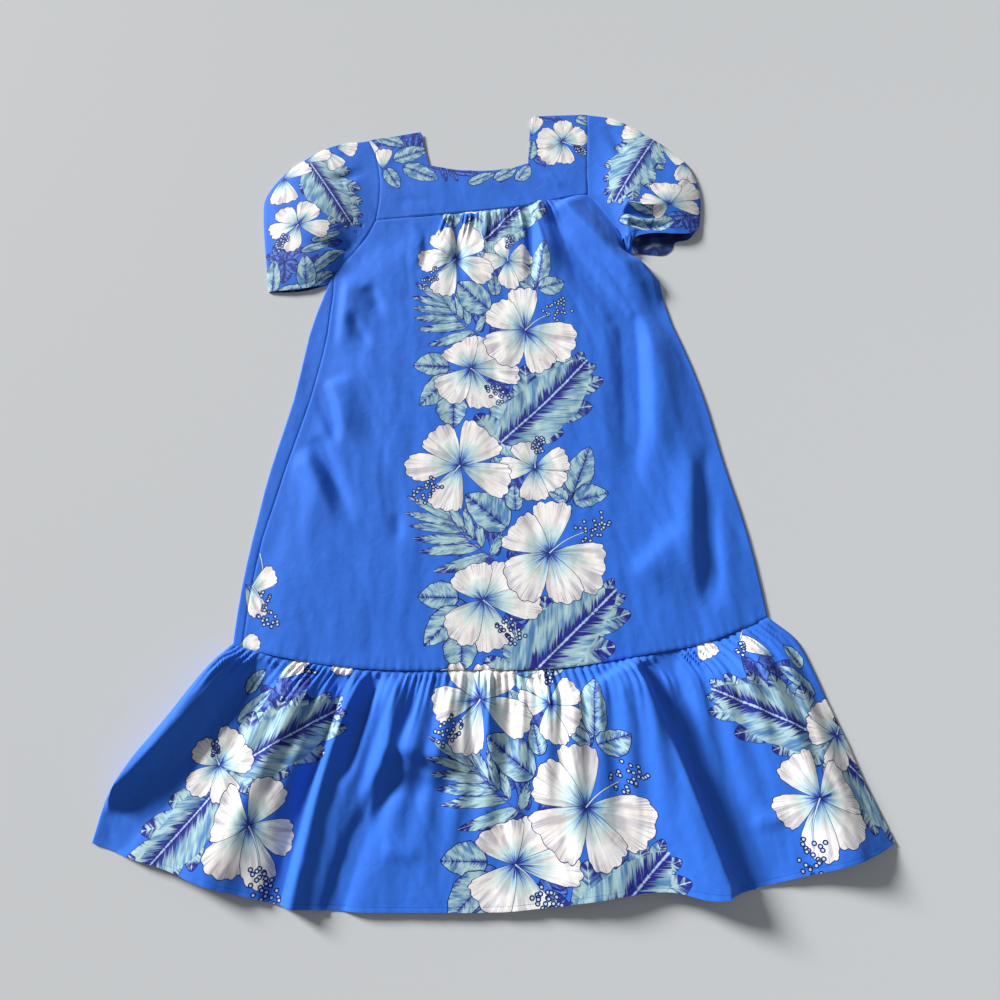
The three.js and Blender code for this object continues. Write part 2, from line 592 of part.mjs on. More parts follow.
// A sleeve is a flattened tube from the armhole to its hem. Its front puffs up and its back lies on
// the ground. Shares run from the outer fold to the underarm, and from the armhole to the hem.
function sleeve(arm, shape) {
  const { side, fold, under, frontHem, backHem } = shape;
  const edge = moved([...arm.yoke, ...arm.body.slice(1)], side * SEAM_SHIFT, 0);
  const around = edge.length - 1;
  const plan = (hem) => panel({
    top: marked(edge, evenly(around)),
    bottom: marked(stations(hem, evenly(around)), evenly(around)),
    left: marked(stations(fold, evenly(SLEEVE_ROWS)), evenly(SLEEVE_ROWS)),
    right: marked(moved(stations(under, evenly(SLEEVE_ROWS)), side * SEAM_SHIFT, 0),
      evenly(SLEEVE_ROWS)),
  });
  const [frontPlan, backPlan] = [plan(frontHem), plan(backHem)];
  const rings = evenly(SLEEVE_ROWS).map((t) => {
    const outerFront = [];
    const innerFront = [];
    const outerBack = [];
    const innerBack = [];
    for (const s of evenly(around)) {
      const front = frontPlan(s, t);
      const back = backPlan(s, t);
      const low = sleeveHeight(s, t, front, shape);
      const inset = (flat, point) => {
        if (s > 0 && s < 1) return point;
        const inwards = flat(s > 0 ? 0.9 : 0.1, t).sub(point);
        return point.clone().addScaledVector(inwards.normalize(), CLOTH);
      };
      const insideFront = inset(frontPlan, front);
      const insideBack = inset(backPlan, back);
      outerFront.push([front.x, front.y, low + CLOTH]);
      innerFront.push([insideFront.x, insideFront.y, low]);
      outerBack.push([back.x, back.y, 0]);
      innerBack.push([insideBack.x, insideBack.y, CLOTH]);
    }
    return {
      outer: [...outerFront, ...outerBack.reverse()],
      inner: [...innerFront, ...innerBack.reverse()],
    };
  });
  return facingOut(tubeWall(rings));
}

// Colours of the cloth, brighter on the front than where it is in shade
const CLOTH_BLUE = 0x2f63cf;
const SHADE_BLUE = 0x244fae;

const dress = new THREE.Group();
function addPiece(name, geometry, color) {
  const material = new THREE.MeshStandardMaterial({ color, roughness: 0.85, metalness: 0 });
  const mesh = new THREE.Mesh(geometry, material);
  mesh.name = name;
  dress.add(mesh);
}

addPiece('back_yoke', yoke(0), SHADE_BLUE);
addPiece('back_body', await backBody(), SHADE_BLUE);
addPiece('flounce_back', flounceBack(), SHADE_BLUE);
addPiece('sleeve_left', sleeve(armLeft, SLEEVES.left), CLOTH_BLUE);
addPiece('sleeve_right', sleeve(armRight, SLEEVES.right), CLOTH_BLUE);
addPiece('front_yoke', yoke(settled(0)), CLOTH_BLUE);
addPiece('front_body', frontBody(), CLOTH_BLUE);
addPiece('flounce_front', flounceFront(), CLOTH_BLUE);

// The middle of the outline goes to the origin
const outline = new THREE.Box3().setFromObject(dress);
const middle = outline.getCenter(new THREE.Vector3());
dress.position.set(-middle.x, -middle.y, 0);

export default dress;
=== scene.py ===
# A blue cotton maxi dress with a border print of flowers and leaves, lying face up on a pale floor.
# The tables are in millimetres, measured from the middle of the flounce seam: X runs to the right,
# Y towards the neck and Z up. Finished pieces are in metres, in the frame of the solids.

import math
from collections import namedtuple

import bpy
import numpy as np
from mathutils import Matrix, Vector, geometry, noise


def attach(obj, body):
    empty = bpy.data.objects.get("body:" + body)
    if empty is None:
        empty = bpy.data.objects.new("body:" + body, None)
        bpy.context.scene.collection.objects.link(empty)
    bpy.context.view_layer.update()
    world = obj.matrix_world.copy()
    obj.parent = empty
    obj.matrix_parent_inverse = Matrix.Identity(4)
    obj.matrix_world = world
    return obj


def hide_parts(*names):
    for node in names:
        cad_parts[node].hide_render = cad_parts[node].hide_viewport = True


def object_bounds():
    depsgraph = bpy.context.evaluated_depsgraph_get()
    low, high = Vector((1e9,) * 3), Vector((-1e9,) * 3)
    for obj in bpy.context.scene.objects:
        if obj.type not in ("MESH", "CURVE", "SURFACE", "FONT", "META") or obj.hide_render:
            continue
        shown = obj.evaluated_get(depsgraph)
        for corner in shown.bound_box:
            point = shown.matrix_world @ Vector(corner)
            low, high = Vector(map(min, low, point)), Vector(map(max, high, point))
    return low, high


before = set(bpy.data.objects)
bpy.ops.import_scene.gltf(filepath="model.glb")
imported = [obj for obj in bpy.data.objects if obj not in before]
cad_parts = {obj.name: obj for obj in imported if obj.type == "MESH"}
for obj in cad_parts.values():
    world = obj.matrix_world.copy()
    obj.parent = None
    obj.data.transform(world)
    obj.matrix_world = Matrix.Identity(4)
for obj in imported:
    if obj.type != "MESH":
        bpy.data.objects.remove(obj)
CAD_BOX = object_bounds()

MM = 0.001

# Cloth and how it lies
CLOTH = 1.5  # wall of the solids
GAP = 0.3  # between the front layer and the back layer
FRONT_FLOOR = CLOTH + GAP
SOFT_FLOOR = 1  # height over which a trough flattens out on the layer below
FACE = 1.1  # the cloth's outer face, above the underside of its solid
THREADS = 0.5  # thickness of the cloth that shows
BACK_FACE = 0.9  # outer face of the layer on the floor
YOKE_LIFT = 0.6  # how much prouder the yoke lies, with its seams inside
SEAM_DIP = 0.9  # depth of the groove along a seam
SEAM_REACH = 1.7  # and half its width
HEM_STITCH = 6.5  # how far rows of stitches lie from the edge or seam that they follow
NECK_STITCH = 5.0
SEAM_STITCH = 2.6
CUFF_STITCH = 9.0
STITCH_DIP = 0.45  # how far the thread draws the cloth in
EDGE_ROLL = 3.0  # over which a side edge curls down to the layer below
FLOUNCE_DEPTH = 315

# Steps along the seams, as in the solids
BODY_ARM_STOPS = np.array([0, 0.06, 0.14, 0.27, 0.43, 0.62, 0.81, 1])
SIDE_STEPS = 16
PLAIN_COLUMNS = 5
YOKE_GATHERS = 14
COLUMNS = 2 * PLAIN_COLUMNS + 2 * YOKE_GATHERS
GATHERED = (0.267, 0.869)
FLOUNCE_GATHERS = 2 * (COLUMNS + 1)

# Seam lines and outlines, x and y, each smooth through its points
YOKE_SEAM = [(-192, 811), (-94, 816), (-13, 820), (78, 827), (146, 840), (197, 848)]
FLOUNCE_SEAM = [
    (-391, 53), (-328, 34), (-237, 16), (-156, 7), (-68, 3), (9, -1), (71, -2), (129, 2),
    (216, 12), (292, 22), (360, 42), (403, 58),
]
NECK_LEFT = [(-107, 1006), (-100, 967), (-93, 930)]
NECK_FRONT = [(-93, 930), (-54, 918), (0, 911), (48, 913), (92, 923)]
NECK_RIGHT = [(92, 923), (98, 981), (105, 1033)]
ARM_LEFT_YOKE = [(-206, 992), (-193, 958), (-185, 902), (-186, 853), (-192, 811)]
ARM_LEFT_BODY = [(-192, 811), (-210, 775), (-234, 740), (-270, 696)]
ARM_RIGHT_YOKE = [(213, 1033), (209, 990), (205, 945), (200, 900), (197, 848)]
ARM_RIGHT_BODY = [(197, 848), (212, 826), (235, 785), (249, 760), (254, 724)]
LEFT_FOLD = [
    (-270, 696), (-283, 658), (-303, 595), (-315, 533), (-329, 459), (-348, 388), (-366, 319),
    (-379, 252), (-391, 188), (-400, 125), (-406, 60),
]
# How far the side seam lies in from the left fold: share down the fold, and distance
LEFT_SEAM_INSET = [(0, 4), (0.08, 20), (0.2, 33), (0.35, 29), (0.6, 24), (0.75, 16), (1, 15)]
RIGHT_SIDE = [
    (254, 724), (290, 690), (308, 655), (313, 595), (331, 531), (347, 469), (361, 395),
    (368, 337), (377, 281), (389, 213), (397, 148), (403, 58),
]
FLOUNCE_LEFT = [
    (-406, 60), (-439, 31), (-467, -2), (-492, -35), (-518, -67), (-544, -99), (-570, -145),
    (-585, -205),
]
FLOUNCE_RIGHT = [
    (403, 58), (440, 22), (458, -26), (471, -73), (489, -130), (500, -173), (515, -220),
    (529, -262),
]
HEM = [
    (-585, -205), (-531, -226), (-475, -244), (-418, -266), (-363, -283), (-308, -298),
    (-227, -308), (-118, -314), (-37, -318), (17, -317), (99, -311), (155, -306), (209, -305),
    (263, -316), (319, -309), (376, -299), (433, -288), (491, -274), (529, -262),
]

# Sleeves: puff is the height of the puff in the middle, and cuff the share of it that is left
# at the cuff. The lines are the armhole, the outer fold, the underarm and the two hems.
Sleeve = namedtuple("Sleeve", "side puff cuff arm fold under front_hem back_hem")
SLEEVE_LEFT = Sleeve(
    side=-1, puff=17, cuff=0.2, arm=(ARM_LEFT_YOKE, ARM_LEFT_BODY),
    fold=[(-206, 992), (-279, 981), (-353, 931), (-393, 875), (-397, 830), (-391, 760), (-380, 669)],
    under=[(-270, 696), (-278, 679)],
    front_hem=[(-380, 669), (-326, 670), (-278, 679)],
    back_hem=[(-380, 669), (-326, 668), (-278, 679)],
)
SLEEVE_RIGHT = Sleeve(
    side=1, puff=18, cuff=0.6, arm=(ARM_RIGHT_YOKE, ARM_RIGHT_BODY),
    fold=[(213, 1033), (263, 1020), (324, 977), (384, 915), (402, 866), (403, 818), (394, 770)],
    under=[(254, 724), (265, 714)],
    front_hem=[
        (394, 770), (384, 755), (367, 748), (343, 747), (310, 750), (286, 749), (272, 745),
        (266, 731), (265, 714),
    ],
    back_hem=[
        (394, 770), (372, 743), (347, 737), (338, 722), (322, 711), (300, 713), (282, 715),
        (265, 714),
    ],
)
# Folds, each along a curve through three points. left and right are its widths on the two sides of
# the way it runs, and starts and ends the shares of its length over which it grows and dies away.
Fold = namedtuple("Fold", "x1 y1 x2 y2 x3 y3 rise left right starts ends")
BODY_FOLDS = [
    Fold(138, 834, 214, 724, 300, 596, 15, 34, 15, 0.1, 0.35),
    Fold(113, 818, 184, 672, 243, 580, -6, 16, 24, 0.1, 0.1),
    Fold(243, 600, 240, 440, 207, 222, -9, 16, 26, 0.1, 0.4),
    Fold(276, 590, 272, 440, 256, 250, 8, 36, 14, 0.3, 0.5),
    Fold(350, 350, 334, 210, 319, 60, -7, 15, 18, 0.3, 0.2),
    Fold(318, 340, 304, 220, 292, 70, 6, 14, 26, 0.4, 0.3),
    Fold(308, 212, 251, 163, 199, 115, 6, 36, 18, 0.3, 0.3),
    Fold(262, 716, 298, 662, 308, 590, 7, 12, 20, 0.2, 0.5),
    Fold(-240, 700, -243, 630, -252, 530, 8, 30, 14, 0.35, 0.4),
    Fold(-262, 688, -262, 630, -274, 545, -3.5, 11, 11, 0.3, 0.3),
    Fold(-291, 483, -270, 430, -252, 365, -6, 8, 9, 0.2, 0.3),
    Fold(-270, 495, -249, 435, -232, 365, 6, 26, 9, 0.2, 0.4),
    Fold(-292, 392, -262, 325, -225, 233, -7, 11, 12, 0.2, 0.4),
    Fold(-314, 372, -286, 310, -252, 220, 7, 12, 22, 0.3, 0.4),
    Fold(-158, 258, -156, 229, -153, 200, -2.5, 7, 9, 0.4, 0.4),
    Fold(-210, 674, -192, 643, -185, 595, -4, 9, 14, 0.3, 0.4),
    Fold(-239, 621, -220, 581, -199, 541, -4, 9, 14, 0.3, 0.4),
    Fold(85, 818, 84, 735, 79, 640, -8, 9, 9, 0, 0.4),
    Fold(104, 822, 109, 740, 106, 650, 8, 26, 11, 0, 0.5),
    Fold(-88, 815, -100, 750, -110, 680, -6, 14, 9, 0, 0.4),
    Fold(-46, 817, -44, 740, -40, 650, -6, 9, 9, 0, 0.5),
]
FLOUNCE_FOLDS = [
    Fold(-396, 50, -466, -45, -566, -140, 19, 16, 44, 0.1, 0),
    Fold(-345, 36, -428, -70, -548, -196, -8, 30, 22, 0.1, 0),
    Fold(-285, 18, -350, -120, -425, -270, 11, 42, 40, 0.2, 0),
    Fold(-236, 10, -276, -125, -326, -290, -8, 12, 17, 0.05, 0),
    Fold(-216, 8, -260, -120, -303, -296, 9, 14, 11, 0.05, 0),
    Fold(-188, 6, -218, -90, -240, -150, -6, 9, 9, 0.05, 0.4),
    Fold(-160, 4, -178, -110, -212, -215, 9, 12, 16, 0.1, 0.3),
    Fold(-165, -128, -206, -190, -250, -300, -9, 22, 13, 0.25, 0),
    Fold(-178, -92, -120, -110, -55, -128, 13, 44, 13, 0.3, 0.4),
    Fold(-176, -134, -120, -152, -66, -168, -5, 10, 20, 0.2, 0.3),
    Fold(-186, -236, -156, -240, -126, -246, 2.5, 16, 9, 0.3, 0.3),
    Fold(-50, -2, -53, -70, -56, -140, -6, 8, 8, 0, 0.4),
    Fold(-26, -2, -29, -75, -32, -140, 8, 10, 10, 0, 0.5),
    Fold(66, -4, 92, -140, 112, -300, 9, 60, 60, 0.3, 0),
    Fold(182, 6, 226, -108, 284, -305, 21, 12, 62, 0.05, 0),
    Fold(205, 2, 256, -120, 318, -290, -9, 40, 14, 0.05, 0),
    Fold(300, 20, 388, -90, 458, -270, 15, 44, 44, 0.3, 0),
    Fold(330, -222, 356, -226, 382, -216, 2.5, 14, 8, 0.3, 0.3),
]
SLEEVE_FOLDS = [
    Fold(258, 802, 292, 786, 332, 784, -6, 6, 7, 0.1, 0.5),
    Fold(262, 778, 302, 766, 350, 770, -6, 6, 7, 0.1, 0.5),
    Fold(256, 812, 296, 802, 345, 806, 5, 9, 6, 0.1, 0.5),
    Fold(240, 1008, 262, 960, 274, 900, -5, 8, 10, 0.2, 0.5),
    Fold(-262, 952, -236, 970, -212, 982, -4, 8, 7, 0.4, 0.2),
    Fold(-206, 930, -246, 906, -290, 900, -4, 9, 9, 0.1, 0.5),
    Fold(-212, 760, -262, 752, -320, 764, -5, 8, 9, 0.1, 0.5),
]
YOKE_FOLDS = [
    Fold(-10, 905, 20, 880, 60, 870, 1.2, 14, 10, 0.3, 0.4),
    Fold(-150, 860, -120, 850, -80, 850, -0.9, 8, 10, 0.3, 0.4),
    Fold(120, 905, 140, 880, 170, 870, 1.4, 12, 10, 0.3, 0.4),
]

# Gathers below a seam: how many, how high, and how far the shortest and the longest run.
# Pleatlets are the finer ones between them.
Gathers = namedtuple("Gathers", "count rise shortest longest")
YOKE_GATHERING = Gathers(YOKE_GATHERS, 5, 55, 170)
YOKE_PLEATLETS = Gathers(34, 2.2, 20, 80)
FLOUNCE_GATHERING = Gathers(FLOUNCE_GATHERS, 4.5, 60, 150)
FLOUNCE_PLEATLETS = Gathers(150, 1.5, 10, 50)
GATHER_WANDER = 1.1  # in gathers, how far they crowd together and spread out
PUCKERS = 61  # along the body's lower edge, above the flounce seam
PUFF = 7  # how far the air between the layers lifts the front layer
FLOUNCE_WAVES = 25.4  # low waves across the flounce, between its folds


def smooth(k):
    """Grows softly from 0 to 1: smooth(distance / 20) does so over 20 mm."""
    k = np.clip(k, 0, 1)
    return k * k * (3 - 2 * k)


def uneven(number, kind):
    """An uneven share from 0 to 1 for the item of that number."""
    wild = np.sin(number * 12.9898 + kind * 78.233) * 43758.5453
    return wild - np.floor(wild)


def noise_at(x, y, z):
    """Smooth noise at many places. Each of x, y and z is a number or an array."""
    return np.array([noise.noise(Vector(place)) for place in np.broadcast(x, y, z)])


# Lines in the plane

def cross(a, b):
    """The cross product of vectors in the plane."""
    return a[..., 0] * b[..., 1] - a[..., 1] * b[..., 0]


def smooth_line(points, pieces=12):
    """Points of a smooth line through the given ones."""
    given = np.array(points, float)
    first = 2 * given[0] - given[1]
    last = 2 * given[-1] - given[-2]
    ends = np.vstack([first, given, last])
    k = np.linspace(0, 1, pieces, endpoint=False)[:, None]
    parts = []
    for a, b, c, d in zip(ends, ends[1:], ends[2:], ends[3:]):
        leave = (c - a) / 2
        arrive = (d - b) / 2
        cubic = 2 * b - 2 * c + leave + arrive
        square = 3 * c - 3 * b - 2 * leave - arrive
        parts.append(b + leave * k + square * k ** 2 + cubic * k ** 3)
    return np.vstack(parts + [given[-1:]])


def shares_of(line):
    steps = np.hypot(*np.diff(line, axis=0).T)
    sums = np.concatenate([[0], np.cumsum(steps)])
    return sums / sums[-1]


def pick(marks, line, at):
    return np.column_stack([np.interp(at, marks, line[:, axis]) for axis in (0, 1)])


def stations(points, shares):
    """Points along a smooth line at the given shares of its length."""
    line = smooth_line(points)
    return pick(shares_of(line), line, shares)


def evenly(steps):
    return np.linspace(0, 1, steps + 1)


def nearest_on(line, points):
    """How far each point lies from a line, at which share of it, and whether on its left."""
    nearest = np.full(len(points), np.inf)
    at = np.zeros(len(points))
    left = np.zeros(len(points), bool)
    for index, (start, end) in enumerate(zip(line, line[1:])):
        way = end - start
        off = points - start
        share = np.clip(off @ way / max(way @ way, 1e-9), 0, 1)
        distance = np.hypot(*(off - share[:, None] * way).T)
        closer = distance < nearest
        nearest = np.where(closer, distance, nearest)
        at = np.where(closer, (index + share) / (len(line) - 1), at)
        left = np.where(closer, cross(way, off) > 0, left)
    return nearest, at, left


def distance_to(points, *lines):
    """How far each point lies from the nearest of some lines."""
    return np.min([nearest_on(line, points)[0] for line in lines], axis=0)


class Panel:
    """A flat shape between four marked lines, as a function of its shares across and down."""

    ROUNDS = 12  # of the search for a point's shares
    STEP = 1e-3
    LONGEST_STEP = 0.2

    def __init__(self, top, bottom, left, right):
        self.lines = [(np.array(marks), np.array(line)) for marks, line in (top, bottom, left, right)]
        top_line, bottom_line, left_line, right_line = [line for _, line in self.lines]
        self.corners = [left_line[0], right_line[0], left_line[-1], right_line[-1]]
        top_line[[0, -1]] = self.corners[:2]
        bottom_line[[0, -1]] = self.corners[2:]

    def plan(self, across, down):
        top, bottom, left, right = [
            pick(marks, line, at)
            for (marks, line), at in zip(self.lines, (across, across, down, down))
        ]
        s = across[:, None]
        t = down[:, None]
        a, b, c, d = self.corners
        straight = (1 - t) * ((1 - s) * a + s * b) + t * ((1 - s) * c + s * d)
        return (1 - t) * top + t * bottom + (1 - s) * left + s * right - straight

    def shares(self, points):
        """The shares across and down of points in the plane, found step by step."""
        low = np.min([line.min(axis=0) for _, line in self.lines], axis=0)
        high = np.max([line.max(axis=0) for _, line in self.lines], axis=0)
        s = (points[:, 0] - low[0]) / (high[0] - low[0])
        t = (high[1] - points[:, 1]) / (high[1] - low[1])
        for _ in range(self.ROUNDS):
            here = self.plan(s, t)
            by_s = (self.plan(s + self.STEP, t) - here) / self.STEP
            by_t = (self.plan(s, t + self.STEP) - here) / self.STEP
            miss = points - here
            turn = cross(by_s, by_t)
            turn = np.where(np.abs(turn) < 1, -1e5, turn)
            s_step = np.clip(cross(miss, by_t) / turn, -self.LONGEST_STEP, self.LONGEST_STEP)
            t_step = np.clip(cross(by_s, miss) / turn, -self.LONGEST_STEP, self.LONGEST_STEP)
            s = np.clip(s + s_step, 0, 1 - self.STEP)
            t = np.clip(t + t_step, 0, 1 - self.STEP)
        return s, t

    def from_sides(self, s, t):
        """How far points at those shares lie from the nearer of the two sides."""
        width = self.plan(np.ones_like(t), t) - self.plan(np.zeros_like(t), t)
        return np.minimum(s, 1 - s) * np.hypot(*width.T)

    def outline(self, across, down):
        """Its edge, against the clock, with points at the given levels."""
        left = self.plan(np.zeros_like(down), down)
        bottom = self.plan(across, np.ones_like(across))
        right = self.plan(np.ones_like(down), down)[::-1]
        top = self.plan(across, np.zeros_like(across))[::-1]
        return np.vstack([side[:-1] for side in (left, bottom, right, top)])

    def inner(self, across, down):
        s, t = np.meshgrid(across[1:-1], down[1:-1])
        return self.plan(s.ravel(), t.ravel())


CLOSE_LEVELS = np.array([0.8, 1.6, 2.6])  # distances from an end
LEAST_LEVEL = 0.3  # least distance between two levels


def levels(steps, length, ends=(0, 1)):
    """Shares for a grid, with extra ones close to the ends, where a seam or a rolled edge lies."""
    near = [np.abs(end - CLOSE_LEVELS / length) for end in ends]
    every = np.unique(np.concatenate([evenly(steps)] + near))
    keep = np.append(True, np.diff(every) > LEAST_LEVEL / length)
    keep[-1] = True
    return every[keep]


# Seams that pieces share

yoke_marks = np.concatenate([
    np.linspace(0, GATHERED[0], PLAIN_COLUMNS, endpoint=False),
    np.linspace(*GATHERED, 2 * YOKE_GATHERS, endpoint=False),
    np.linspace(GATHERED[1], 1, PLAIN_COLUMNS + 1),
])
fine = evenly(240)
side_steps = evenly(SIDE_STEPS)
yoke_seam = stations(YOKE_SEAM, np.interp(fine, evenly(COLUMNS), yoke_marks))
flounce_seam = stations(FLOUNCE_SEAM, fine)
arm_left = stations(ARM_LEFT_BODY, BODY_ARM_STOPS)
arm_right = stations(ARM_RIGHT_BODY, BODY_ARM_STOPS)
left_fold = stations(LEFT_FOLD, side_steps)
right_side = stations(RIGHT_SIDE, side_steps)
left_seam = left_fold.copy()
left_seam[:, 0] += np.interp(side_steps, *np.array(LEFT_SEAM_INSET).T)
left_seam[-1] = flounce_seam[0]
left_edge = np.vstack([arm_left, left_fold[1:]])
right_edge = np.vstack([arm_right, right_side[1:]])
body_rows = (shares_of(left_edge) + shares_of(right_edge)) / 2
seam_steps = np.append(0, (1 + fine * COLUMNS) / (COLUMNS + 1))
whole_flounce_seam = np.vstack([left_fold[-1], flounce_seam])

front_body_panel = Panel(
    top=(fine, yoke_seam),
    bottom=(fine, flounce_seam),
    left=(body_rows, np.vstack([arm_left[:-1], left_seam])),
    right=(body_rows, right_edge),
)
back_body_panel = Panel(
    top=(fine, yoke_seam),
    bottom=(seam_steps, whole_flounce_seam),
    left=(body_rows, left_edge),
    right=(body_rows, right_edge),
)
flounce_panel = Panel(
    top=(seam_steps, whole_flounce_seam),
    bottom=(fine, stations(HEM, fine)),
    left=(evenly(40), stations(FLOUNCE_LEFT, evenly(40))),
    right=(evenly(40), stations(FLOUNCE_RIGHT, evenly(40))),
)
left_strip_panel = Panel(
    top=(evenly(1), [left_fold[0], left_seam[0]]),
    bottom=(evenly(1), [left_fold[-1], left_seam[-1]]),
    left=(side_steps, left_fold),
    right=(side_steps, left_seam),
)


# Heights

FOLD_LIFT = 1.25  # folds of the cloth stand a little prouder than those of the solids


def settled(height):
    """Height of the front layer's underside, which settles softly on the layer below."""
    soft = SOFT_FLOOR * np.exp(np.minimum(height, SOFT_FLOOR) / SOFT_FLOOR - 1)
    return FRONT_FLOOR + np.where(height > SOFT_FLOOR, height, soft)


def fold_height(folds, points, pieces=20):
    total = np.zeros(len(points))
    k = evenly(pieces)[:, None]
    for fold in folds:
        start, through, end = np.array([fold[0:2], fold[2:4], fold[4:6]], float)
        bend = 2 * through - (start + end) / 2
        curve = (1 - k) ** 2 * start + 2 * k * (1 - k) * bend + k ** 2 * end
        nearest, at, left = nearest_on(curve, points)
        width = np.where(left, fold.left, fold.right)
        grown = smooth(at / fold.starts) if fold.starts else 1
        alive = smooth((1 - at) / fold.ends) if fold.ends else 1
        total += FOLD_LIFT * fold.rise * grown * alive * np.exp(-(nearest / width) ** 2)
    return total


def gather_height(share, distance, gathers, numbers=lambda n: n):
    """Rounded gathers that swell below their seam and die away unevenly. share runs across them,
    and numbers gives each one the number that its length and height are drawn from."""
    wander = noise_at(11 * share, gathers.count, 0)
    crowd = noise_at(17 * share, gathers.count, 5)
    column = share * gathers.count + GATHER_WANDER * wander
    index = np.floor(column)
    number = numbers(index)
    ridge = np.sin(np.pi * (column - index)) ** 1.3
    reach = gathers.shortest + (gathers.longest - gathers.shortest) * uneven(number, 1)
    swell = 0.3 + 0.7 * smooth(distance / 12)
    size = gathers.rise * (0.5 + 0.7 * uneven(number, 2)) * np.clip(1 + 1.3 * crowd, 0.25, 1.6)
    there = (share >= 0) & (share <= 1)
    return np.where(there, size * swell * ridge * smooth(1 - distance / reach), 0)


def pucker_height(share, distance):
    """Small uneven puckers above a seam. share runs along it."""
    column = share * PUCKERS
    number = np.floor(column)
    reach = 12 + 22 * uneven(number, 7)
    size = 0.8 * (0.3 + uneven(number, 8))
    return size * np.sin(2 * np.pi * column) * smooth(1 - distance / reach)


# Small uneven swells and thin creases, as cotton keeps when it has been folded away: rise, and
# size across and down. A crease runs where a noise changes sign.
RIPPLES = [(1.6, 46, 130), (0.8, 19, 66), (0.3, 9, 24)]
CREASES = [(0.7, 80, 240), (0.5, 62, 190)]
CREASE_SLANT = 0.3


def ripples(points, seed):
    x, y = points.T
    swells = sum(
        rise * noise_at(x / across, y / down, seed + across) for rise, across, down in RIPPLES
    )
    for rise, across, down in CREASES:
        change = noise_at((x + CREASE_SLANT * y) / across, y / down, seed + 50 + across)
        swells = swells - rise * smooth(1 - 6 * np.abs(change))
    return swells


def curl_down(face, distance):
    """Lets a side edge curl down to the layer below."""
    k = 1 - np.clip(distance / EDGE_ROLL, 0, 1)
    return BACK_FACE + (face - BACK_FACE) * np.sqrt(1 - k ** 2)


def dip(distance):
    return SEAM_DIP * np.exp(-(distance / SEAM_REACH) ** 2)


def stitch_dip(edge_distance, row):
    """How far a row of stitches, that far from the edge, draws the cloth in."""
    return STITCH_DIP * dip(np.abs(edge_distance - row))


def front_body_height(points):
    s, t = front_body_panel.shares(points)
    inside = front_body_panel.from_sides(s, t)
    below_yoke = distance_to(points, yoke_seam[::4])
    above_flounce = distance_to(points, flounce_seam[::4])
    settle = smooth(inside / 20)
    across = (s * COLUMNS - PLAIN_COLUMNS) / (2 * YOKE_GATHERS)
    puff = PUFF * smooth(inside / 60) * smooth(below_yoke / 110)
    rise = puff * (1 - 0.4 * smooth((t - 0.85) / 0.15))
    rise += gather_height(across, below_yoke, YOKE_GATHERING, lambda n: 2 * n + 1)
    rise += gather_height(across, below_yoke, YOKE_PLEATLETS)
    rise += fold_height(BODY_FOLDS, points) * smooth(inside / 14)
    rise += pucker_height(s, above_flounce) * settle
    face = settled(rise) + FACE + ripples(points, seed=3) * settle * smooth(below_yoke / 20)
    face -= dip(np.minimum(below_yoke, above_flounce))
    face -= dip(distance_to(points, left_seam, arm_left, arm_right))
    return curl_down(face, distance_to(points, right_side))


def flounce_height(points):
    s, t = flounce_panel.shares(points)
    down = t * FLOUNCE_DEPTH
    inside = flounce_panel.from_sides(s, t)
    waves = 2.5 * (1 - np.cos(FLOUNCE_WAVES * s * 2 * np.pi)) * smooth(down / 60)
    rise = waves * smooth((FLOUNCE_DEPTH - down) / 220) * smooth(inside / 30)
    rise += gather_height(s, down, FLOUNCE_GATHERING) + gather_height(s, down, FLOUNCE_PLEATLETS)
    rise += PUFF * smooth(inside / 50) * smooth(down / 60)
    rise += fold_height(FLOUNCE_FOLDS, points) * smooth(inside / 12) * smooth((down + 12) / 36)
    face = settled(rise) + FACE + ripples(points, seed=11) * smooth(inside / 20) * smooth(down / 20)
    face -= dip(distance_to(points, whole_flounce_seam[::4]))
    face -= stitch_dip(distance_to(points, stations(HEM, evenly(80))), HEM_STITCH)
    sides = [stations(line, evenly(30)) for line in (FLOUNCE_LEFT, FLOUNCE_RIGHT)]
    return curl_down(face, distance_to(points, *sides))


def strip_height(points):
    face = settled(0) + FACE + 0.5 * ripples(points, seed=5)
    face -= dip(distance_to(points, left_seam)) + dip(distance_to(points, flounce_seam[:3]))
    return curl_down(face, distance_to(points, left_fold))


def yoke_height(points):
    face = settled(0) + FACE + YOKE_LIFT + fold_height(YOKE_FOLDS, points)
    face += 0.7 * ripples(points, seed=17)
    for line in (smooth_line(ARM_LEFT_YOKE), smooth_line(ARM_RIGHT_YOKE), yoke_seam[::4]):
        face -= dip(distance_to(points, line))
    neck = distance_to(points, *[smooth_line(line) for line in (NECK_LEFT, NECK_FRONT, NECK_RIGHT)])
    return face - 0.6 * dip(neck) - stitch_dip(neck, NECK_STITCH)


def back_height(seed):
    def height(points):
        return BACK_FACE + 0.1 * ripples(points, seed)
    return height


def sleeve_panel(arm, sleeve, hem):
    return Panel(
        top=(evenly(len(arm) - 1), arm),
        bottom=(fine, stations(hem, fine)),
        left=(evenly(30), stations(sleeve.fold, evenly(30))),
        right=(evenly(30), stations(sleeve.under, evenly(30))),
    )


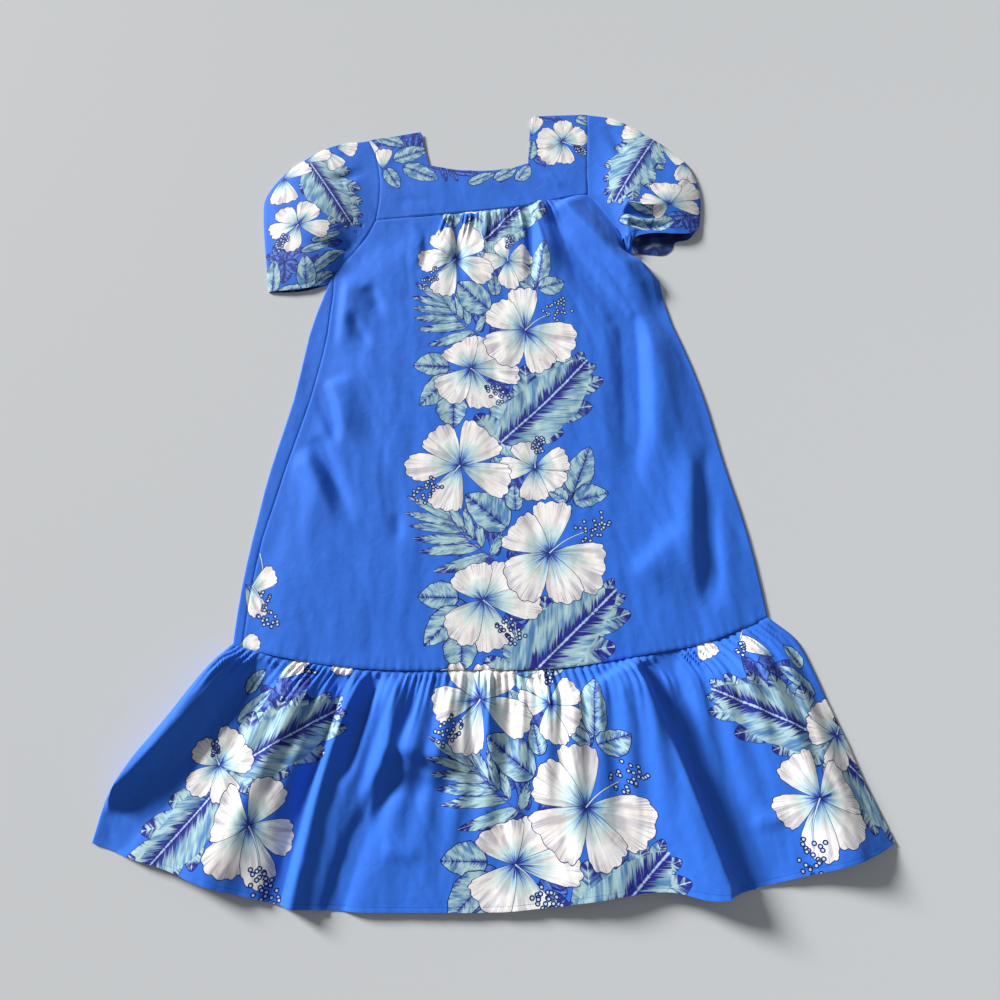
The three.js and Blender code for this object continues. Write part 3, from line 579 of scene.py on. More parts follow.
def sleeve_height(panel, sleeve, arm):
    def height(points):
        s, t = panel.shares(points)
        inside = np.minimum(s, 1 - s)
        rise = sleeve.puff * np.sin(np.pi * s) ** 0.7 * smooth(t / 0.4)
        rise = rise * (1 - (1 - sleeve.cuff) * smooth((t - 0.55) / 0.45))
        rise += fold_height(SLEEVE_FOLDS, points) * smooth(inside / 0.15) * smooth(t / 0.2)
        face = settled(rise) + FACE
        face += 0.6 * ripples(points, seed=23 + sleeve.side) * smooth(inside / 0.1)
        face -= dip(distance_to(points, arm))
        face -= stitch_dip(distance_to(points, stations(sleeve.front_hem, evenly(40))), CUFF_STITCH)
        sides = stations(sleeve.fold, evenly(30)), stations(sleeve.under, evenly(4))
        return curl_down(face, distance_to(points, *sides))
    return height


# The print. Each motif is drawn by a formula in its own frame, with X from its base to its tip.

PETAL_POINTS = 66
LEAF_POINTS = 34
DISC_POINTS = 8
INK_LINE = 1.1  # width of the dark line round a motif
FINE_LINE = 0.8  # and round a small part of one

Motif = namedtuple("Motif", "finish outline base turn size lay look number")

# Where a copy of the print lies on the cloth. Each row says where its middle runs at that y, and how
# far it is squeezed there. The print's own zero lies at start, and side is -1 where it is mirrored.
Lay = namedtuple("Lay", "rows start side")
Row = namedtuple("Row", "y middle squeeze")


def middle_and_squeeze(lay, y):
    rows = np.array(lay.rows)
    return np.interp(y, rows[:, 0], rows[:, 1]), np.interp(y, rows[:, 0], rows[:, 2])


def on_cloth(lay, points):
    y = lay.start + points[:, 1]
    middle, squeeze = middle_and_squeeze(lay, y)
    return np.column_stack([middle + lay.side * squeeze * points[:, 0], y])


def on_print(lay, points):
    x, y = points.T
    middle, squeeze = middle_and_squeeze(lay, y)
    return np.column_stack([lay.side * (x - middle) / squeeze, y - lay.start])


def turned(points, degrees):
    angle = math.radians(degrees)
    across = np.array([[math.cos(angle), math.sin(angle)], [-math.sin(angle), math.cos(angle)]])
    return points @ across


def round_trip(count):
    """Angles once round an outline, and how far from base to tip each of them lies."""
    angles = np.linspace(0, 2 * np.pi, count, endpoint=False)
    return angles, 0.5 - 0.5 * np.cos(angles)


def petal_outline(length, width, number, inset):
    """A broad petal with a ruffled rim."""
    angles, k = round_trip(PETAL_POINTS)
    half = 1.37 * k ** 0.78 * np.sqrt(np.maximum(1 - k ** 6, 0)) * np.sign(np.sin(angles))
    phase = 6.3 * uneven(number, 3)
    scallops = np.abs(np.sin(7.5 * angles + phase)) + 0.7 * np.sin(3.2 * angles + 2 * phase)
    ruffle = 1 + 0.06 * (scallops - 0.6) * smooth((k - 0.35) / 0.3)
    bend = (uneven(number, 4) - 0.5) * 0.22
    x = length * (0.5 + (k * ruffle - 0.5) * (1 - 2 * inset / length))
    y = width / 2 * half * ruffle * (1 - 2 * inset / width) + bend * width * k ** 2
    return np.column_stack([x, y])


def leafy_outline(breadth, base, tip, waves, wave_size, bending):
    """The outline of leaves whose breadth grows from the base and dies to the tip by those powers."""
    def outline(length, width, number, inset):
        angles, k = round_trip(LEAF_POINTS)
        half = breadth * k ** base * (1 - k) ** tip * np.sign(np.sin(angles))
        wavy = 1 + wave_size * np.sin(waves * angles + 6 * uneven(number, 5))
        bend = (uneven(number, 6) - 0.5) * bending
        x = length * (0.5 + (k - 0.5) * (1 - 3 * inset / length))
        y = width / 2 * half * wavy * (1 - 2 * inset / width) + bend * width * np.sin(np.pi * k)
        return np.column_stack([x, y])
    return outline


def disc_outline(length, width, number, inset):
    angles, _ = round_trip(DISC_POINTS)
    return (length / 2 - inset) * np.column_stack([np.cos(angles), np.sin(angles)])


def stalk_outline(length, width, number, inset):
    k = evenly(8)
    bow = 0.06 * length * np.sin(np.pi * k)
    half = (width / 2 - inset) * (1 - 0.45 * k)
    upper = np.column_stack([length * k, bow + half])
    lower = np.column_stack([length * k, bow - half])
    return np.vstack([lower, upper[::-1]])


def petal_look(points, length, width):
    """Shares out from the flower's middle and round it, where -1 and 1 are the petal's sides."""
    far = np.hypot(points[:, 0], points[:, 1]) / length
    spread = math.atan2(width, 1.3 * length)
    return np.column_stack([far, np.arctan2(points[:, 1], points[:, 0] + 0.02 * length) / spread])


def leaf_look(points, length, width):
    return np.column_stack([points[:, 0] / length, 2 * points[:, 1] / width])


LEAF_OUTLINE = leafy_outline(breadth=2.85, base=0.55, tip=0.8, waves=11, wave_size=0.05, bending=0.3)
LOBE_OUTLINE = leafy_outline(breadth=1.74, base=0.3, tip=0.56, waves=8, wave_size=0.04, bending=0)
OUTLINES = {
    "petal": (petal_outline, petal_look),
    "leaf": (LEAF_OUTLINE, leaf_look),
    "lobe": (LOBE_OUTLINE, leaf_look),
    "disc": (disc_outline, leaf_look),
    "stalk": (stalk_outline, leaf_look),
}
DOT = 7.6  # a stamen's dots, across, and the ring of ink round each
DOT_RING = 2.0
DOT_SPREAD = 0.16  # how far they lie off the stamen's line, in its lengths
STALK_LENGTH = 0.62  # the part of a stamen that is a stalk, in its lengths, and its width
STALK_WIDTH = 3.6
PALM_LINE = 0.7  # dark line round a palm's leaflet
PALM_STALK = 2.6
PLAIN_ROWS = (Row(-1000, 0, 1), Row(2000, 0, 1))
AS_DRAWN = Lay(PLAIN_ROWS, 0, 1)


class Print:
    """Motifs in the order in which they are printed, each over the ones before it."""

    def __init__(self, first_number=0):
        self.motifs = []
        self.number = first_number
        self.lay = AS_DRAWN

    def add(self, form, finish, x, y, turn, length, width, line=INK_LINE):
        """One motif from its base, over a slightly larger one in ink."""
        self.number += 1
        outline, look = OUTLINES[form]
        for layer, inset in (("ink", 0), (finish, line)) if line else ((finish, 0),):
            placed = turned(outline(length, width, self.number, inset), turn) + [x, y]
            self.motifs.append(Motif(
                layer, on_cloth(self.lay, placed), (x, y), turn, (length, width), self.lay, look,
                self.number,
            ))

    def add_along(self, stem, leaflets, form, finish, x, y, turn, size, line):
        """Leaflets or lobes, each from its place on the stem."""
        for leaflet in leaflets:
            dx, dy = turned(np.array([leaflet.along * stem * size, 0]), turn)
            self.add(form, finish, x + dx, y + dy, turn + leaflet.turn, leaflet.length * size,
                     leaflet.width * size, line)

    def stamen(self, x, y, turn, length, dots=26):
        """A stalk with dots scattered along its end."""
        self.add("stalk", "pale", x, y, turn, STALK_LENGTH * length, STALK_WIDTH, FINE_LINE)
        for i in range(dots):
            along = length * (0.52 + 0.5 * i / (dots - 1))
            across = DOT_SPREAD * length * (2 * uneven(self.number + i, 8) - 1)
            dx, dy = turned(np.array([along, across]), turn)
            self.add("disc", "pale", x + dx, y + dy, 0, DOT, DOT, DOT_RING)

    def flower(self, kind, x, y, turn=0, size=1.0):
        stamen_turn, stamen_length, petals = FLOWERS[kind]
        for petal_turn, length, width in petals:
            self.add("petal", "petal", x, y, petal_turn + turn, length * size, width * size)
        if stamen_length:
            self.stamen(x, y, stamen_turn + turn, stamen_length * size)

    def palm(self, x, y, turn):
        self.add_along(PALM_LENGTH, PALM, "leaf", "palm", x, y, turn, 1, PALM_LINE)
        self.add("stalk", "palm_rib", x, y, turn, PALM_LENGTH, PALM_STALK, 0)

    def split_leaf(self, x, y, turn, size):
        self.add_along(SPLIT_LENGTH, SPLIT_LEAF, "lobe", "lobe", x, y, turn, size, FINE_LINE)
        self.add("leaf", "split_leaf", x, y, turn, SPLIT_LENGTH * size, SPLIT_WIDTH * size, 0)

    def leaves(self, rows):
        for leaf in rows:
            self.add("petal" if leaf.finish == "petal" else "leaf", *leaf)


# Flowers: the stamen's turn and length, and each petal's turn, length and width
FLOWERS = {
    "open": (217, 88, [(-25, 88, 58), (181, 86, 52), (123, 77, 60), (245, 82, 56), (48, 76, 78)]),
    "small": (79, 53, [(112, 50, 43), (180, 56, 40), (-42, 52, 47), (260, 56, 47), (20, 58, 43)]),
    "large": (28, 105, [(84, 87, 60), (137, 75, 70), (-20, 92, 80), (-72, 82, 58), (219, 80, 80)]),
    "turned": (-51, 81, [(47, 66, 62), (-5, 87, 52), (-77, 80, 58), (228, 72, 64), (114, 56, 72)]),
    "side_small": (110, 32, [(142, 46, 40), (219, 52, 43), (12, 51, 42), (-74, 50, 46), (66, 52, 47)]),
    "side_large": (-76, 106, [(57, 66, 54), (-20, 62, 48), (233, 74, 60), (-80, 80, 48), (158, 52, 76)]),
    "half_open": (0, 0, [(165, 54, 31), (40, 76, 47), (-3, 60, 29), (214, 36, 25), (91, 50, 60)]),
    "round": (-35, 50, [(85, 50, 40), (17, 49, 47), (-88, 52, 40), (225, 59, 47), (160, 48, 56)]),
}

# Leaflets of the palm, from its stem: share of the stem, turn from it, length and width
Leaflet = namedtuple("Leaflet", "along turn length width")
PALM_LENGTH = 93
PALM = [
    Leaflet(0.84, -12, 66, 13), Leaflet(0.66, -17, 66, 14), Leaflet(0.48, -32, 58, 13),
    Leaflet(0.28, -38, 46, 13), Leaflet(0.08, -72, 42, 14), Leaflet(0.10, 60, 92, 19),
    Leaflet(0.30, 48, 98, 17), Leaflet(0.50, 43, 94, 16), Leaflet(0.70, 38, 88, 15),
    Leaflet(0.86, 30, 86, 14), Leaflet(0.99, 14, 84, 13),
]

# Lobes of the split leaf, outermost first: where on its rib, turn from it, length and width
SPLIT_LENGTH = 202
SPLIT_WIDTH = 76
SPLIT_LEAF = [
    Leaflet(0.80, 16, 50, 24), Leaflet(0.79, -18, 48, 24), Leaflet(0.64, 26, 70, 34),
    Leaflet(0.58, -26, 84, 40), Leaflet(0.46, 36, 82, 42), Leaflet(0.34, -36, 92, 50),
    Leaflet(0.28, 44, 92, 48), Leaflet(0.12, -44, 78, 48), Leaflet(0.10, 56, 82, 50),
    Leaflet(0.00, 86, 60, 46), Leaflet(0.00, -70, 52, 38),
]

# Leaves and single petals, each from its base
Leaf = namedtuple("Leaf", "finish x y turn length width")


def shade_spray(x, y, *leaves):
    """Dark leaves that grow from one place, each with its turn, length and width."""
    return [Leaf("shade", x, y, *leaf) for leaf in leaves]


# The border's repeat, from the row where it starts
REPEAT_LEAVES = [
    Leaf("leaf", 109, -137, 111, 38, 22), Leaf("leaf", 103, -145, 143, 40, 24),
    Leaf("leaf", 112, -134, 67, 88, 40), Leaf("leaf", 111, -146, 12, 60, 34),
    Leaf("leaf", 6, -184, 138, 88, 52), Leaf("leaf", 20, -157, 90, 46, 26),
    Leaf("leaf", 2, -97, 112, 38, 26), Leaf("leaf", -74, -290, 176, 64, 40),
    Leaf("leaf", -70, -306, 222, 80, 40), Leaf("leaf", -72, -342, 268, 60, 46),
]
REPEAT_SHADOWS = [
    Leaf("shade", -18, -232, 205, 66, 15), Leaf("shade", 8, -224, 70, 62, 20),
    Leaf("shade", -12, -228, 100, 72, 18), Leaf("shade", 2, -232, 28, 60, 24),
    Leaf("shade", 12, -118, 60, 46, 26), Leaf("shade", 96, -150, 88, 52, 26),
    Leaf("shade", -58, -306, 196, 60, 34), Leaf("shade", -66, -330, 250, 64, 40),
    Leaf("shade", -6, -352, 60, 60, 34), Leaf("shade", 18, -330, 100, 60, 30),
    Leaf("shade", -24, -196, 158, 60, 22), Leaf("shade", 40, -136, 118, 60, 26),
]
REPEAT = 393  # from one copy of the border to the next

SIDE_LEAVES = shade_spray(-322, -46, (92, 60, 30), (55, 62, 30), (130, 56, 28), (18, 50, 26)) + [
    Leaf("leaf", -380, -16, 54, 44, 20), Leaf("leaf", -388, -62, 14, 56, 30),
    Leaf("leaf", -391, -56, 41, 70, 20), Leaf("leaf", -378, -147, 37, 42, 28),
    Leaf("petal", -338, 2, 30, 54, 26), Leaf("petal", -232, 44, 250, 42, 34),
]
SLEEVE_LEFT_LEAVES = shade_spray(
    -352, 724, (151, 42, 22), (90, 46, 22), (31, 42, 20), (-94, 42, 24), (122, 44, 20), (60, 44, 18),
    (-40, 40, 22),
) + [
    Leaf("shade", -300, 752, 14, 52, 14), Leaf("leaf", -305, 760, 22, 58, 14),
    Leaf("leaf", -322, 738, 24, 60, 16), Leaf("shade", -296, 770, 30, 70, 12),
    Leaf("shade", -330, 706, 20, 56, 20), Leaf("shade", -318, 688, 60, 52, 18),
    Leaf("leaf", -303, 699, 43, 78, 18), Leaf("leaf", -303, 677, 35, 46, 16),
    Leaf("leaf", -373, 664, 89, 70, 26), Leaf("leaf", -366, 664, 10, 66, 26),
    Leaf("leaf", -313, 668, 92, 66, 32), Leaf("petal", -268, 980, -7, 42, 38),
    Leaf("petal", -283, 968, -58, 48, 36), Leaf("petal", -322, 944, 28, 50, 30),
    Leaf("petal", -364, 905, 38, 60, 38), Leaf("petal", -361, 908, -90, 62, 54),
]
SLEEVE_RIGHT_LEAVES = shade_spray(
    369, 785, (-141, 42, 20), (-27, 34, 20), (-76, 38, 22), (-172, 44, 18), (8, 34, 18),
) + [
    Leaf("shade", 330, 806, 172, 60, 14), Leaf("leaf", 316, 790, 159, 58, 14),
    Leaf("leaf", 318, 775, 175, 60, 13), Leaf("leaf", 248, 788, -29, 64, 22),
    Leaf("leaf", 304, 760, 19, 46, 28), Leaf("petal", 284, 1000, 144, 40, 26),
    Leaf("petal", 316, 974, 163, 44, 40), Leaf("petal", 343, 957, -53, 66, 32),
    Leaf("petal", 382, 908, -97, 52, 48),
]
YOKE_LEAVES = shade_spray(-126, 960, (134, 44, 22), (52, 38, 22), (111, 44, 22), (80, 50, 24)) + [
    Leaf("shade", -204, 984, -10, 52, 26), Leaf("leaf", -196, 1004, -27, 66, 28),
    Leaf("petal", -206, 998, -71, 42, 20), Leaf("leaf", -174, 926, -62, 54, 26),
    Leaf("leaf", -142, 928, -27, 74, 34), Leaf("leaf", -160, 944, 19, 70, 32),
    Leaf("petal", -180, 922, 87, 50, 32), Leaf("shade", -96, 926, -22, 38, 16),
    Leaf("shade", -68, 920, -78, 32, 10), Leaf("shade", -56, 918, -62, 34, 11),
    Leaf("shade", -50, 914, -12, 54, 14), Leaf("shade", 50, 912, -110, 34, 16),
    Leaf("leaf", -22, 882, 24, 58, 20), Leaf("leaf", 26, 888, 32, 54, 22),
    Leaf("leaf", 68, 884, 55, 46, 24), Leaf("leaf", 189, 1026, -33, 34, 22),
    Leaf("shade", 112, 1030, -8, 52, 16), Leaf("shade", 104, 940, -52, 34, 14),
    Leaf("petal", 102, 986, 69, 50, 26), Leaf("leaf", 94, 932, 79, 48, 28),
    Leaf("leaf", 186, 968, -58, 28, 14),
]

BODY_LAY = (
    Row(-100, 10, 1), Row(430, 10, 1), Row(540, 2, 0.95), Row(620, 0, 0.86), Row(720, 0, 0.76),
    Row(840, 4, 0.74),
)
FLOUNCE_LAY = (
    Row(-420, 46, 1.07), Row(-300, 42, 1.05), Row(-200, 35, 1), Row(-120, 24, 0.92),
    Row(-45, 15, 0.82), Row(10, 12, 0.78),
)
FIRST_COPY = 400  # row where the lower whole copy on the body starts
FLOUNCE_COPY = 34  # row where the flounce's whole copy starts
MIRROR_ROWS = (Row(-1000, 61, 1), Row(2000, 61, 1))  # for the flounce's right side group


def border(rows, starts, first_number=0):
    """Copies of the border's repeat, one above the other."""
    pattern = Print(first_number)
    for start in starts:
        pattern.lay = Lay(rows, start, 1)
        pattern.leaves(REPEAT_SHADOWS)
        pattern.split_leaf(2, -432, 41, 1.08)
        pattern.palm(-18, -232, 134)
        pattern.leaves(REPEAT_LEAVES)
        pattern.flower("small", 55, -86)
        pattern.flower("open", -65, -75)
        pattern.flower("turned", -38, -295)
        pattern.flower("large", 68, -227)
    return pattern


def side_border(pattern, lay):
    pattern.lay = lay
    pattern.leaves(SIDE_LEAVES)
    pattern.split_leaf(-392, -118, 27, 0.86)
    pattern.split_leaf(-408, -140, -133, 0.80)
    pattern.stamen(-299, 44, -68, 38, 9)
    pattern.flower("side_small", -412, -112)
    pattern.flower("side_large", -363, -193)


def flounce_print():
    pattern = border(FLOUNCE_LAY, (FLOUNCE_COPY + REPEAT, FLOUNCE_COPY), first_number=900)
    side_border(pattern, AS_DRAWN)
    side_border(pattern, Lay(MIRROR_ROWS, -4, -1))
    return pattern.motifs


def left_flowers(pattern):
    """The bits of another border that show by the left side seam, on both sides of it."""
    pattern.lay = AS_DRAWN
    pattern.stamen(-372, 196, -84, 82, 18)
    pattern.add("petal", "petal", -386, 134, 38, 52, 34)
    pattern.add("petal", "petal", -392, 150, -62, 60, 30)
    pattern.stamen(-382, 146, -62, 74, 18)
    pattern.add("petal", "petal", -400, 50, 20, 36, 30)
    return pattern.motifs


def body_print():
    starts = [FIRST_COPY + REPEAT * copies for copies in (2, 1, 0, -0.975)]
    return left_flowers(border(BODY_LAY, starts))


def strip_print():
    return left_flowers(Print(first_number=2700))


def yoke_print():
    pattern = Print(first_number=1800)
    pattern.leaves(YOKE_LEAVES)
    pattern.flower("round", 160, 970)
    return pattern.motifs


def sleeve_left_print():
    pattern = Print(first_number=2100)
    pattern.split_leaf(-314, 942, -61, 0.82)
    pattern.leaves(SLEEVE_LEFT_LEAVES)
    pattern.flower("open", -328, 796, 10, 0.66)
    return pattern.motifs


def sleeve_right_print():
    pattern = Print(first_number=2400)
    pattern.lay = Lay(PLAIN_ROWS, 0, -1)
    pattern.split_leaf(-333, 965, -58, 0.84)
    pattern.lay = AS_DRAWN
    pattern.leaves(SLEEVE_RIGHT_LEAVES)
    pattern.flower("half_open", 339, 806)
    return pattern.motifs


# Materials

class Value:
    """A number in a shader. Arithmetic on it adds the maths nodes that work the result out."""

    def __init__(self, nodes, source):
        self.nodes = nodes
        self.source = source

    def __add__(self, other):
        return self.nodes.math("ADD", self, other)

    def __sub__(self, other):
        return self.nodes.math("SUBTRACT", self, other)

    def __rsub__(self, other):
        return self.nodes.math("SUBTRACT", other, self)

    def __mul__(self, other):
        return self.nodes.math("MULTIPLY", self, other)

    def __abs__(self):
        return self.nodes.math("ABSOLUTE", self, 0)

    def clamped(self):
        self.source.node.use_clamp = True
        return self


class Nodes:
    """Adds shader nodes from left to right. An input takes a constant or what it is joined to."""

    def __init__(self, tree):
        self.tree = tree
        self.count = 0

    def plug(self, target, given):
        source = given.source if isinstance(given, Value) else given
        if isinstance(source, bpy.types.NodeSocket):
            self.tree.links.new(source, target)
        else:
            target.default_value = source

    def add(self, kind, inputs=None, **settings):
        node = self.tree.nodes.new(kind)
        node.location = (self.count * 180, 0)
        self.count += 1
        for name, setting in settings.items():
            setattr(node, name, setting)
        for name, given in (inputs or {}).items():
            self.plug(node.inputs[name], given)
        return node

    def math(self, operation, a, b):
        return Value(self, self.add("ShaderNodeMath", {0: a, 1: b}, operation=operation).outputs[0])

    def mix(self, factor, a, b, blend="MIX"):
        inputs = {0: factor, 6: a, 7: b}
        return self.add("ShaderNodeMix", inputs, data_type="RGBA", blend_type=blend).outputs[2]

    def noise(self, place, scale, detail=2, distortion=0):
        inputs = {"Vector": place, "Scale": scale, "Detail": detail, "Distortion": distortion}
        return Value(self, self.add("ShaderNodeTexNoise", inputs).outputs["Fac"])

    def streaks(self, x, y, z, detail):
        place = self.add("ShaderNodeCombineXYZ", {0: x, 1: y, 2: z})
        return self.noise(place.outputs[0], 1, detail)

    def ramp(self, factor, stops):
        node = self.add("ShaderNodeValToRGB", {0: factor})
        ramp = node.color_ramp
        ramp.interpolation = "EASE"
        while len(ramp.elements) < len(stops):
            ramp.elements.new(0.5)
        for element, (position, colour) in zip(ramp.elements, stops):
            element.position = position
            element.color = colour
        return node.outputs[0]


COLOUR = "NodeSocketColor"
VALUE = "NodeSocketFloat"
VECTOR = "NodeSocketVector"


def new_group(name, inputs, outputs):
    """A node group with those sockets, each a name and its kind, and what it is filled through."""
    group = bpy.data.node_groups.new(name, "ShaderNodeTree")
    for way, sockets in (("INPUT", inputs), ("OUTPUT", outputs)):
        for title, kind in sockets.items():
            group.interface.new_socket(title, in_out=way, socket_type=kind)
    nodes = Nodes(group)
    given = nodes.add("NodeGroupInput").outputs
    result = nodes.add("NodeGroupOutput").inputs
    return group, nodes, given, result


def weave_group():
    """Plain weave: threads and soft creases, as a height and as a faint change of tone. The tone follows
    the slubs, and the creases, darker in their hollows as painted shade.
    """
    group, nodes, given, result = new_group(
        "plain_weave", {"place": VECTOR}, {"height": VALUE, "tone": VALUE})
    threads = {"Vector": given["place"], "Scale": 560, "Distortion": 1.2, "Detail Scale": 0.4}
    across, down = [
        Value(nodes, nodes.add("ShaderNodeTexWave", threads, bands_direction=way).outputs["Fac"])
        for way in ("X", "Y")
    ]
    creases = nodes.noise(given["place"], scale=55, detail=4, distortion=0.6)
    slubs = nodes.noise(given["place"], scale=900)
    nodes.plug(result["height"], (across + down) * 0.05 + creases)
    # the creases' part of the tone is painted shade: darker where their bump is low, lighter on its
    # crests
    nodes.plug(result["tone"], slubs * 0.14 + creases * 0.12 + 0.87)
    return group


def petal_group():
    """A petal: a dark throat that streaks outwards, pale veins, and warm grey shade in its hollows."""
    group, nodes, given, result = new_group(
        "petal_print", {"out": VALUE, "round": VALUE, "number": VALUE}, {"colour": COLOUR})
    out, round_it, number = [Value(nodes, given[name]) for name in ("out", "round", "number")]
    seed = number * 3.7
    fine_streaks = nodes.streaks(round_it * 9, out * 1.4, seed, detail=2)
    folds = nodes.streaks(round_it * 2.6, out * 1.3, seed, detail=1)
    blotches = nodes.streaks(round_it * 1.4, out * 2.2, seed, detail=2)
    lines = nodes.streaks(round_it * 24, out * 0.8, seed, detail=0)
    reach = out + (0.5 - fine_streaks) * 0.5 + (0.5 - folds) * 0.4
    throat = nodes.ramp(reach, [
        (0.04, (0.014, 0.018, 0.26, 1)), (0.12, (0.045, 0.13, 0.50, 1)),
        (0.20, (0.28, 0.50, 0.70, 1)), (0.38, (0.62, 0.79, 0.80, 1)), (0.64, (0.95, 0.94, 0.92, 1)),
    ])
    shade = nodes.ramp(folds, [(0.32, (0.46, 0.46, 0.54, 1)), (0.50, WHITE)])
    veins = nodes.ramp(lines, [(0.34, (0.55, 0.56, 0.70, 1)), (0.46, WHITE)])
    warm = nodes.ramp(blotches, [(0.42, WHITE), (0.72, (0.90, 0.82, 0.82, 1))])
    near_rim = ((out - 0.62) * 3.2).clamped()
    shaded = nodes.mix(0.62, throat, shade, "MULTIPLY")
    veined = nodes.mix(near_rim * 0.85, shaded, nodes.mix(1, shaded, veins, "MULTIPLY"))
    nodes.plug(result["colour"], nodes.mix(0.8, veined, warm, "MULTIPLY"))
    return group


Leafing = namedtuple(
    "Leafing", "veins rib_shade edge_shade tip_shade base_shade pale middle dark rib")


def leaf_group():
    """A leaf: pale streaks between its veins, and violet feathered along its rib, edge and tip."""
    inputs = dict.fromkeys(("along", "across", "number") + Leafing._fields[:5], VALUE)
    inputs.update(dict.fromkeys(Leafing._fields[5:], COLOUR))
    group, nodes, given, result = new_group("leaf_print", inputs, {"colour": COLOUR})
    values = {name: Value(nodes, given[name]) for name in inputs if inputs[name] == VALUE}
    along = values["along"]
    off = abs(values["across"])
    seed = values["number"] * 2.9
    flow = (along - off * 0.2) * values["veins"]
    fine_streaks = nodes.streaks(flow * 3, values["across"] * 1.1, seed, detail=2) - 0.5
    broad = nodes.streaks(flow * 0.7, values["across"] * 1.6, seed, detail=1) - 0.5
    depth = (off * 0.35 + broad * 3.4 + 0.15 + fine_streaks * 2.4).clamped()
    body = nodes.mix(depth, given["pale"], given["middle"])
    jag = fine_streaks * 1.3
    dark = ((values["rib_shade"] - (off + jag)) * 5).clamped()
    for near in (
        off + jag - values["edge_shade"],
        along + jag - values["tip_shade"],
        values["base_shade"] - (along + jag),
    ):
        dark = nodes.math("MAXIMUM", dark, (near * 4).clamped())
    rib = ((0.045 - off - jag * 0.12) * 40).clamped()
    body = nodes.mix(dark, body, given["dark"])
    nodes.plug(result["colour"], nodes.mix(rib, body, given["rib"]))
    return group


WHITE = (1, 1, 1, 1)
GROUND_BLUE = (0.028, 0.158, 0.72, 1)
INK_BLUE = (0.006, 0.016, 0.13, 1)
PALE_BLUE = (0.50, 0.66, 0.84, 1)
RIB_BLUE = (0.05, 0.10, 0.42, 1)
THREAD_BLUE = (0.012, 0.05, 0.32, 1)
# The wrong side of the cloth inside the sleeves: a faint print, painted near-black navy as the shade
# inside them
SHADED_INSIDE_NAVY = (0.006, 0.018, 0.10, 1)
SHADED_INSIDE_BLUE = (0.015, 0.050, 0.22, 1)
SHADED_INSIDE_GREY = (0.12, 0.15, 0.24, 1)
LEAF_PALE = (0.42, 0.63, 0.67, 1)
LEAF_MIDDLE = (0.085, 0.23, 0.47, 1)
VIOLET = (0.018, 0.020, 0.25, 1)
RIB_PALE = (0.42, 0.60, 0.84, 1)
SHADE_PALE = (0.10, 0.24, 0.74, 1)
SHADE_MIDDLE = (0.018, 0.036, 0.34, 1)
LEAVES = {
    "leaf": Leafing(9, 0.24, 1.02, 1.0, 0, LEAF_PALE, LEAF_MIDDLE, RIB_BLUE, INK_BLUE),
    "palm": Leafing(3, 0.02, 0.88, 0.66, 0.18, LEAF_PALE, LEAF_MIDDLE, VIOLET, LEAF_PALE),
    "lobe": Leafing(5, -0.30, 0.80, 0.68, 0, LEAF_PALE, LEAF_MIDDLE, VIOLET, LEAF_PALE),
    "split_leaf": Leafing(18, 0.40, 3.0, 1.3, 0, LEAF_PALE, LEAF_MIDDLE, VIOLET, RIB_PALE),
    "shade": Leafing(6, 0.30, 0.8, 0.75, 0.2, SHADE_PALE, SHADE_MIDDLE, VIOLET, RIB_BLUE),
}

WEAVE = weave_group()
PETAL_PRINT = petal_group()
LEAF_PRINT = leaf_group()


def cotton(name, colour_of):
    """Printed cotton: the printed colour, its weave and a faint sheen."""
    material = bpy.data.materials.new("cotton_" + name)
    material.use_nodes = True
    material.node_tree.nodes.clear()
    nodes = Nodes(material.node_tree)
    place = nodes.add("ShaderNodeTexCoord").outputs["Object"]
    weave = nodes.add("ShaderNodeGroup", node_tree=WEAVE)
    nodes.plug(weave.inputs["place"], place)
    # the weave's tone holds slub variation and painted shade in the creases
    colour = nodes.mix(1, colour_of(nodes, place), weave.outputs["tone"], "MULTIPLY")
    bump = nodes.add("ShaderNodeBump", {
        "Strength": 0.55, "Distance": 0.0012, "Height": weave.outputs["height"],
    })
    shader = nodes.add("ShaderNodeBsdfPrincipled", {
        "Base Color": colour, "Normal": bump.outputs["Normal"], "Roughness": 0.74,
        "Specular IOR Level": 0.22, "Sheen Weight": 0.06, "Sheen Roughness": 0.5,
    })
    nodes.add("ShaderNodeOutputMaterial", {0: shader.outputs[0]})
    return material


def plain_colour(colour):
    def colour_of(nodes, place):
        darker, lighter = [
            tuple(min(1, tone * part) for part in colour[:3]) + (1,) for tone in (0.90, 1.10)
        ]
        return nodes.mix(nodes.noise(place, scale=9), darker, lighter)
    return colour_of


def motif_colour(print_group, names, **constants):
    """The colour that a group draws inside a motif, from the motif's own shares and its number."""
    def colour_of(nodes, place):
        uv = nodes.add("ShaderNodeUVMap", uv_map="motif")
        apart = nodes.add("ShaderNodeSeparateXYZ", {0: uv.outputs["UV"]})
        number = nodes.add("ShaderNodeAttribute", attribute_name="motif_number")
        sources = (apart.outputs["X"], apart.outputs["Y"], number.outputs["Fac"])
        inputs = {**dict(zip(names, sources)), **constants}
        return nodes.add("ShaderNodeGroup", inputs, node_tree=print_group).outputs["colour"]
    return colour_of


def leaf_colour(leafing):
    return motif_colour(LEAF_PRINT, ("along", "across", "number"), **leafing._asdict())


def shaded_inside_colour(nodes, place):
    """The wrong side of the cloth, its print showing faintly, painted dark navy as the shade inside a
    sleeve.
    """
    return nodes.ramp(nodes.noise(place, scale=38, detail=1, distortion=0.8), [
        (0.44, SHADED_INSIDE_NAVY), (0.50, SHADED_INSIDE_BLUE), (0.58, SHADED_INSIDE_BLUE), (0.60, SHADED_INSIDE_GREY),
    ])


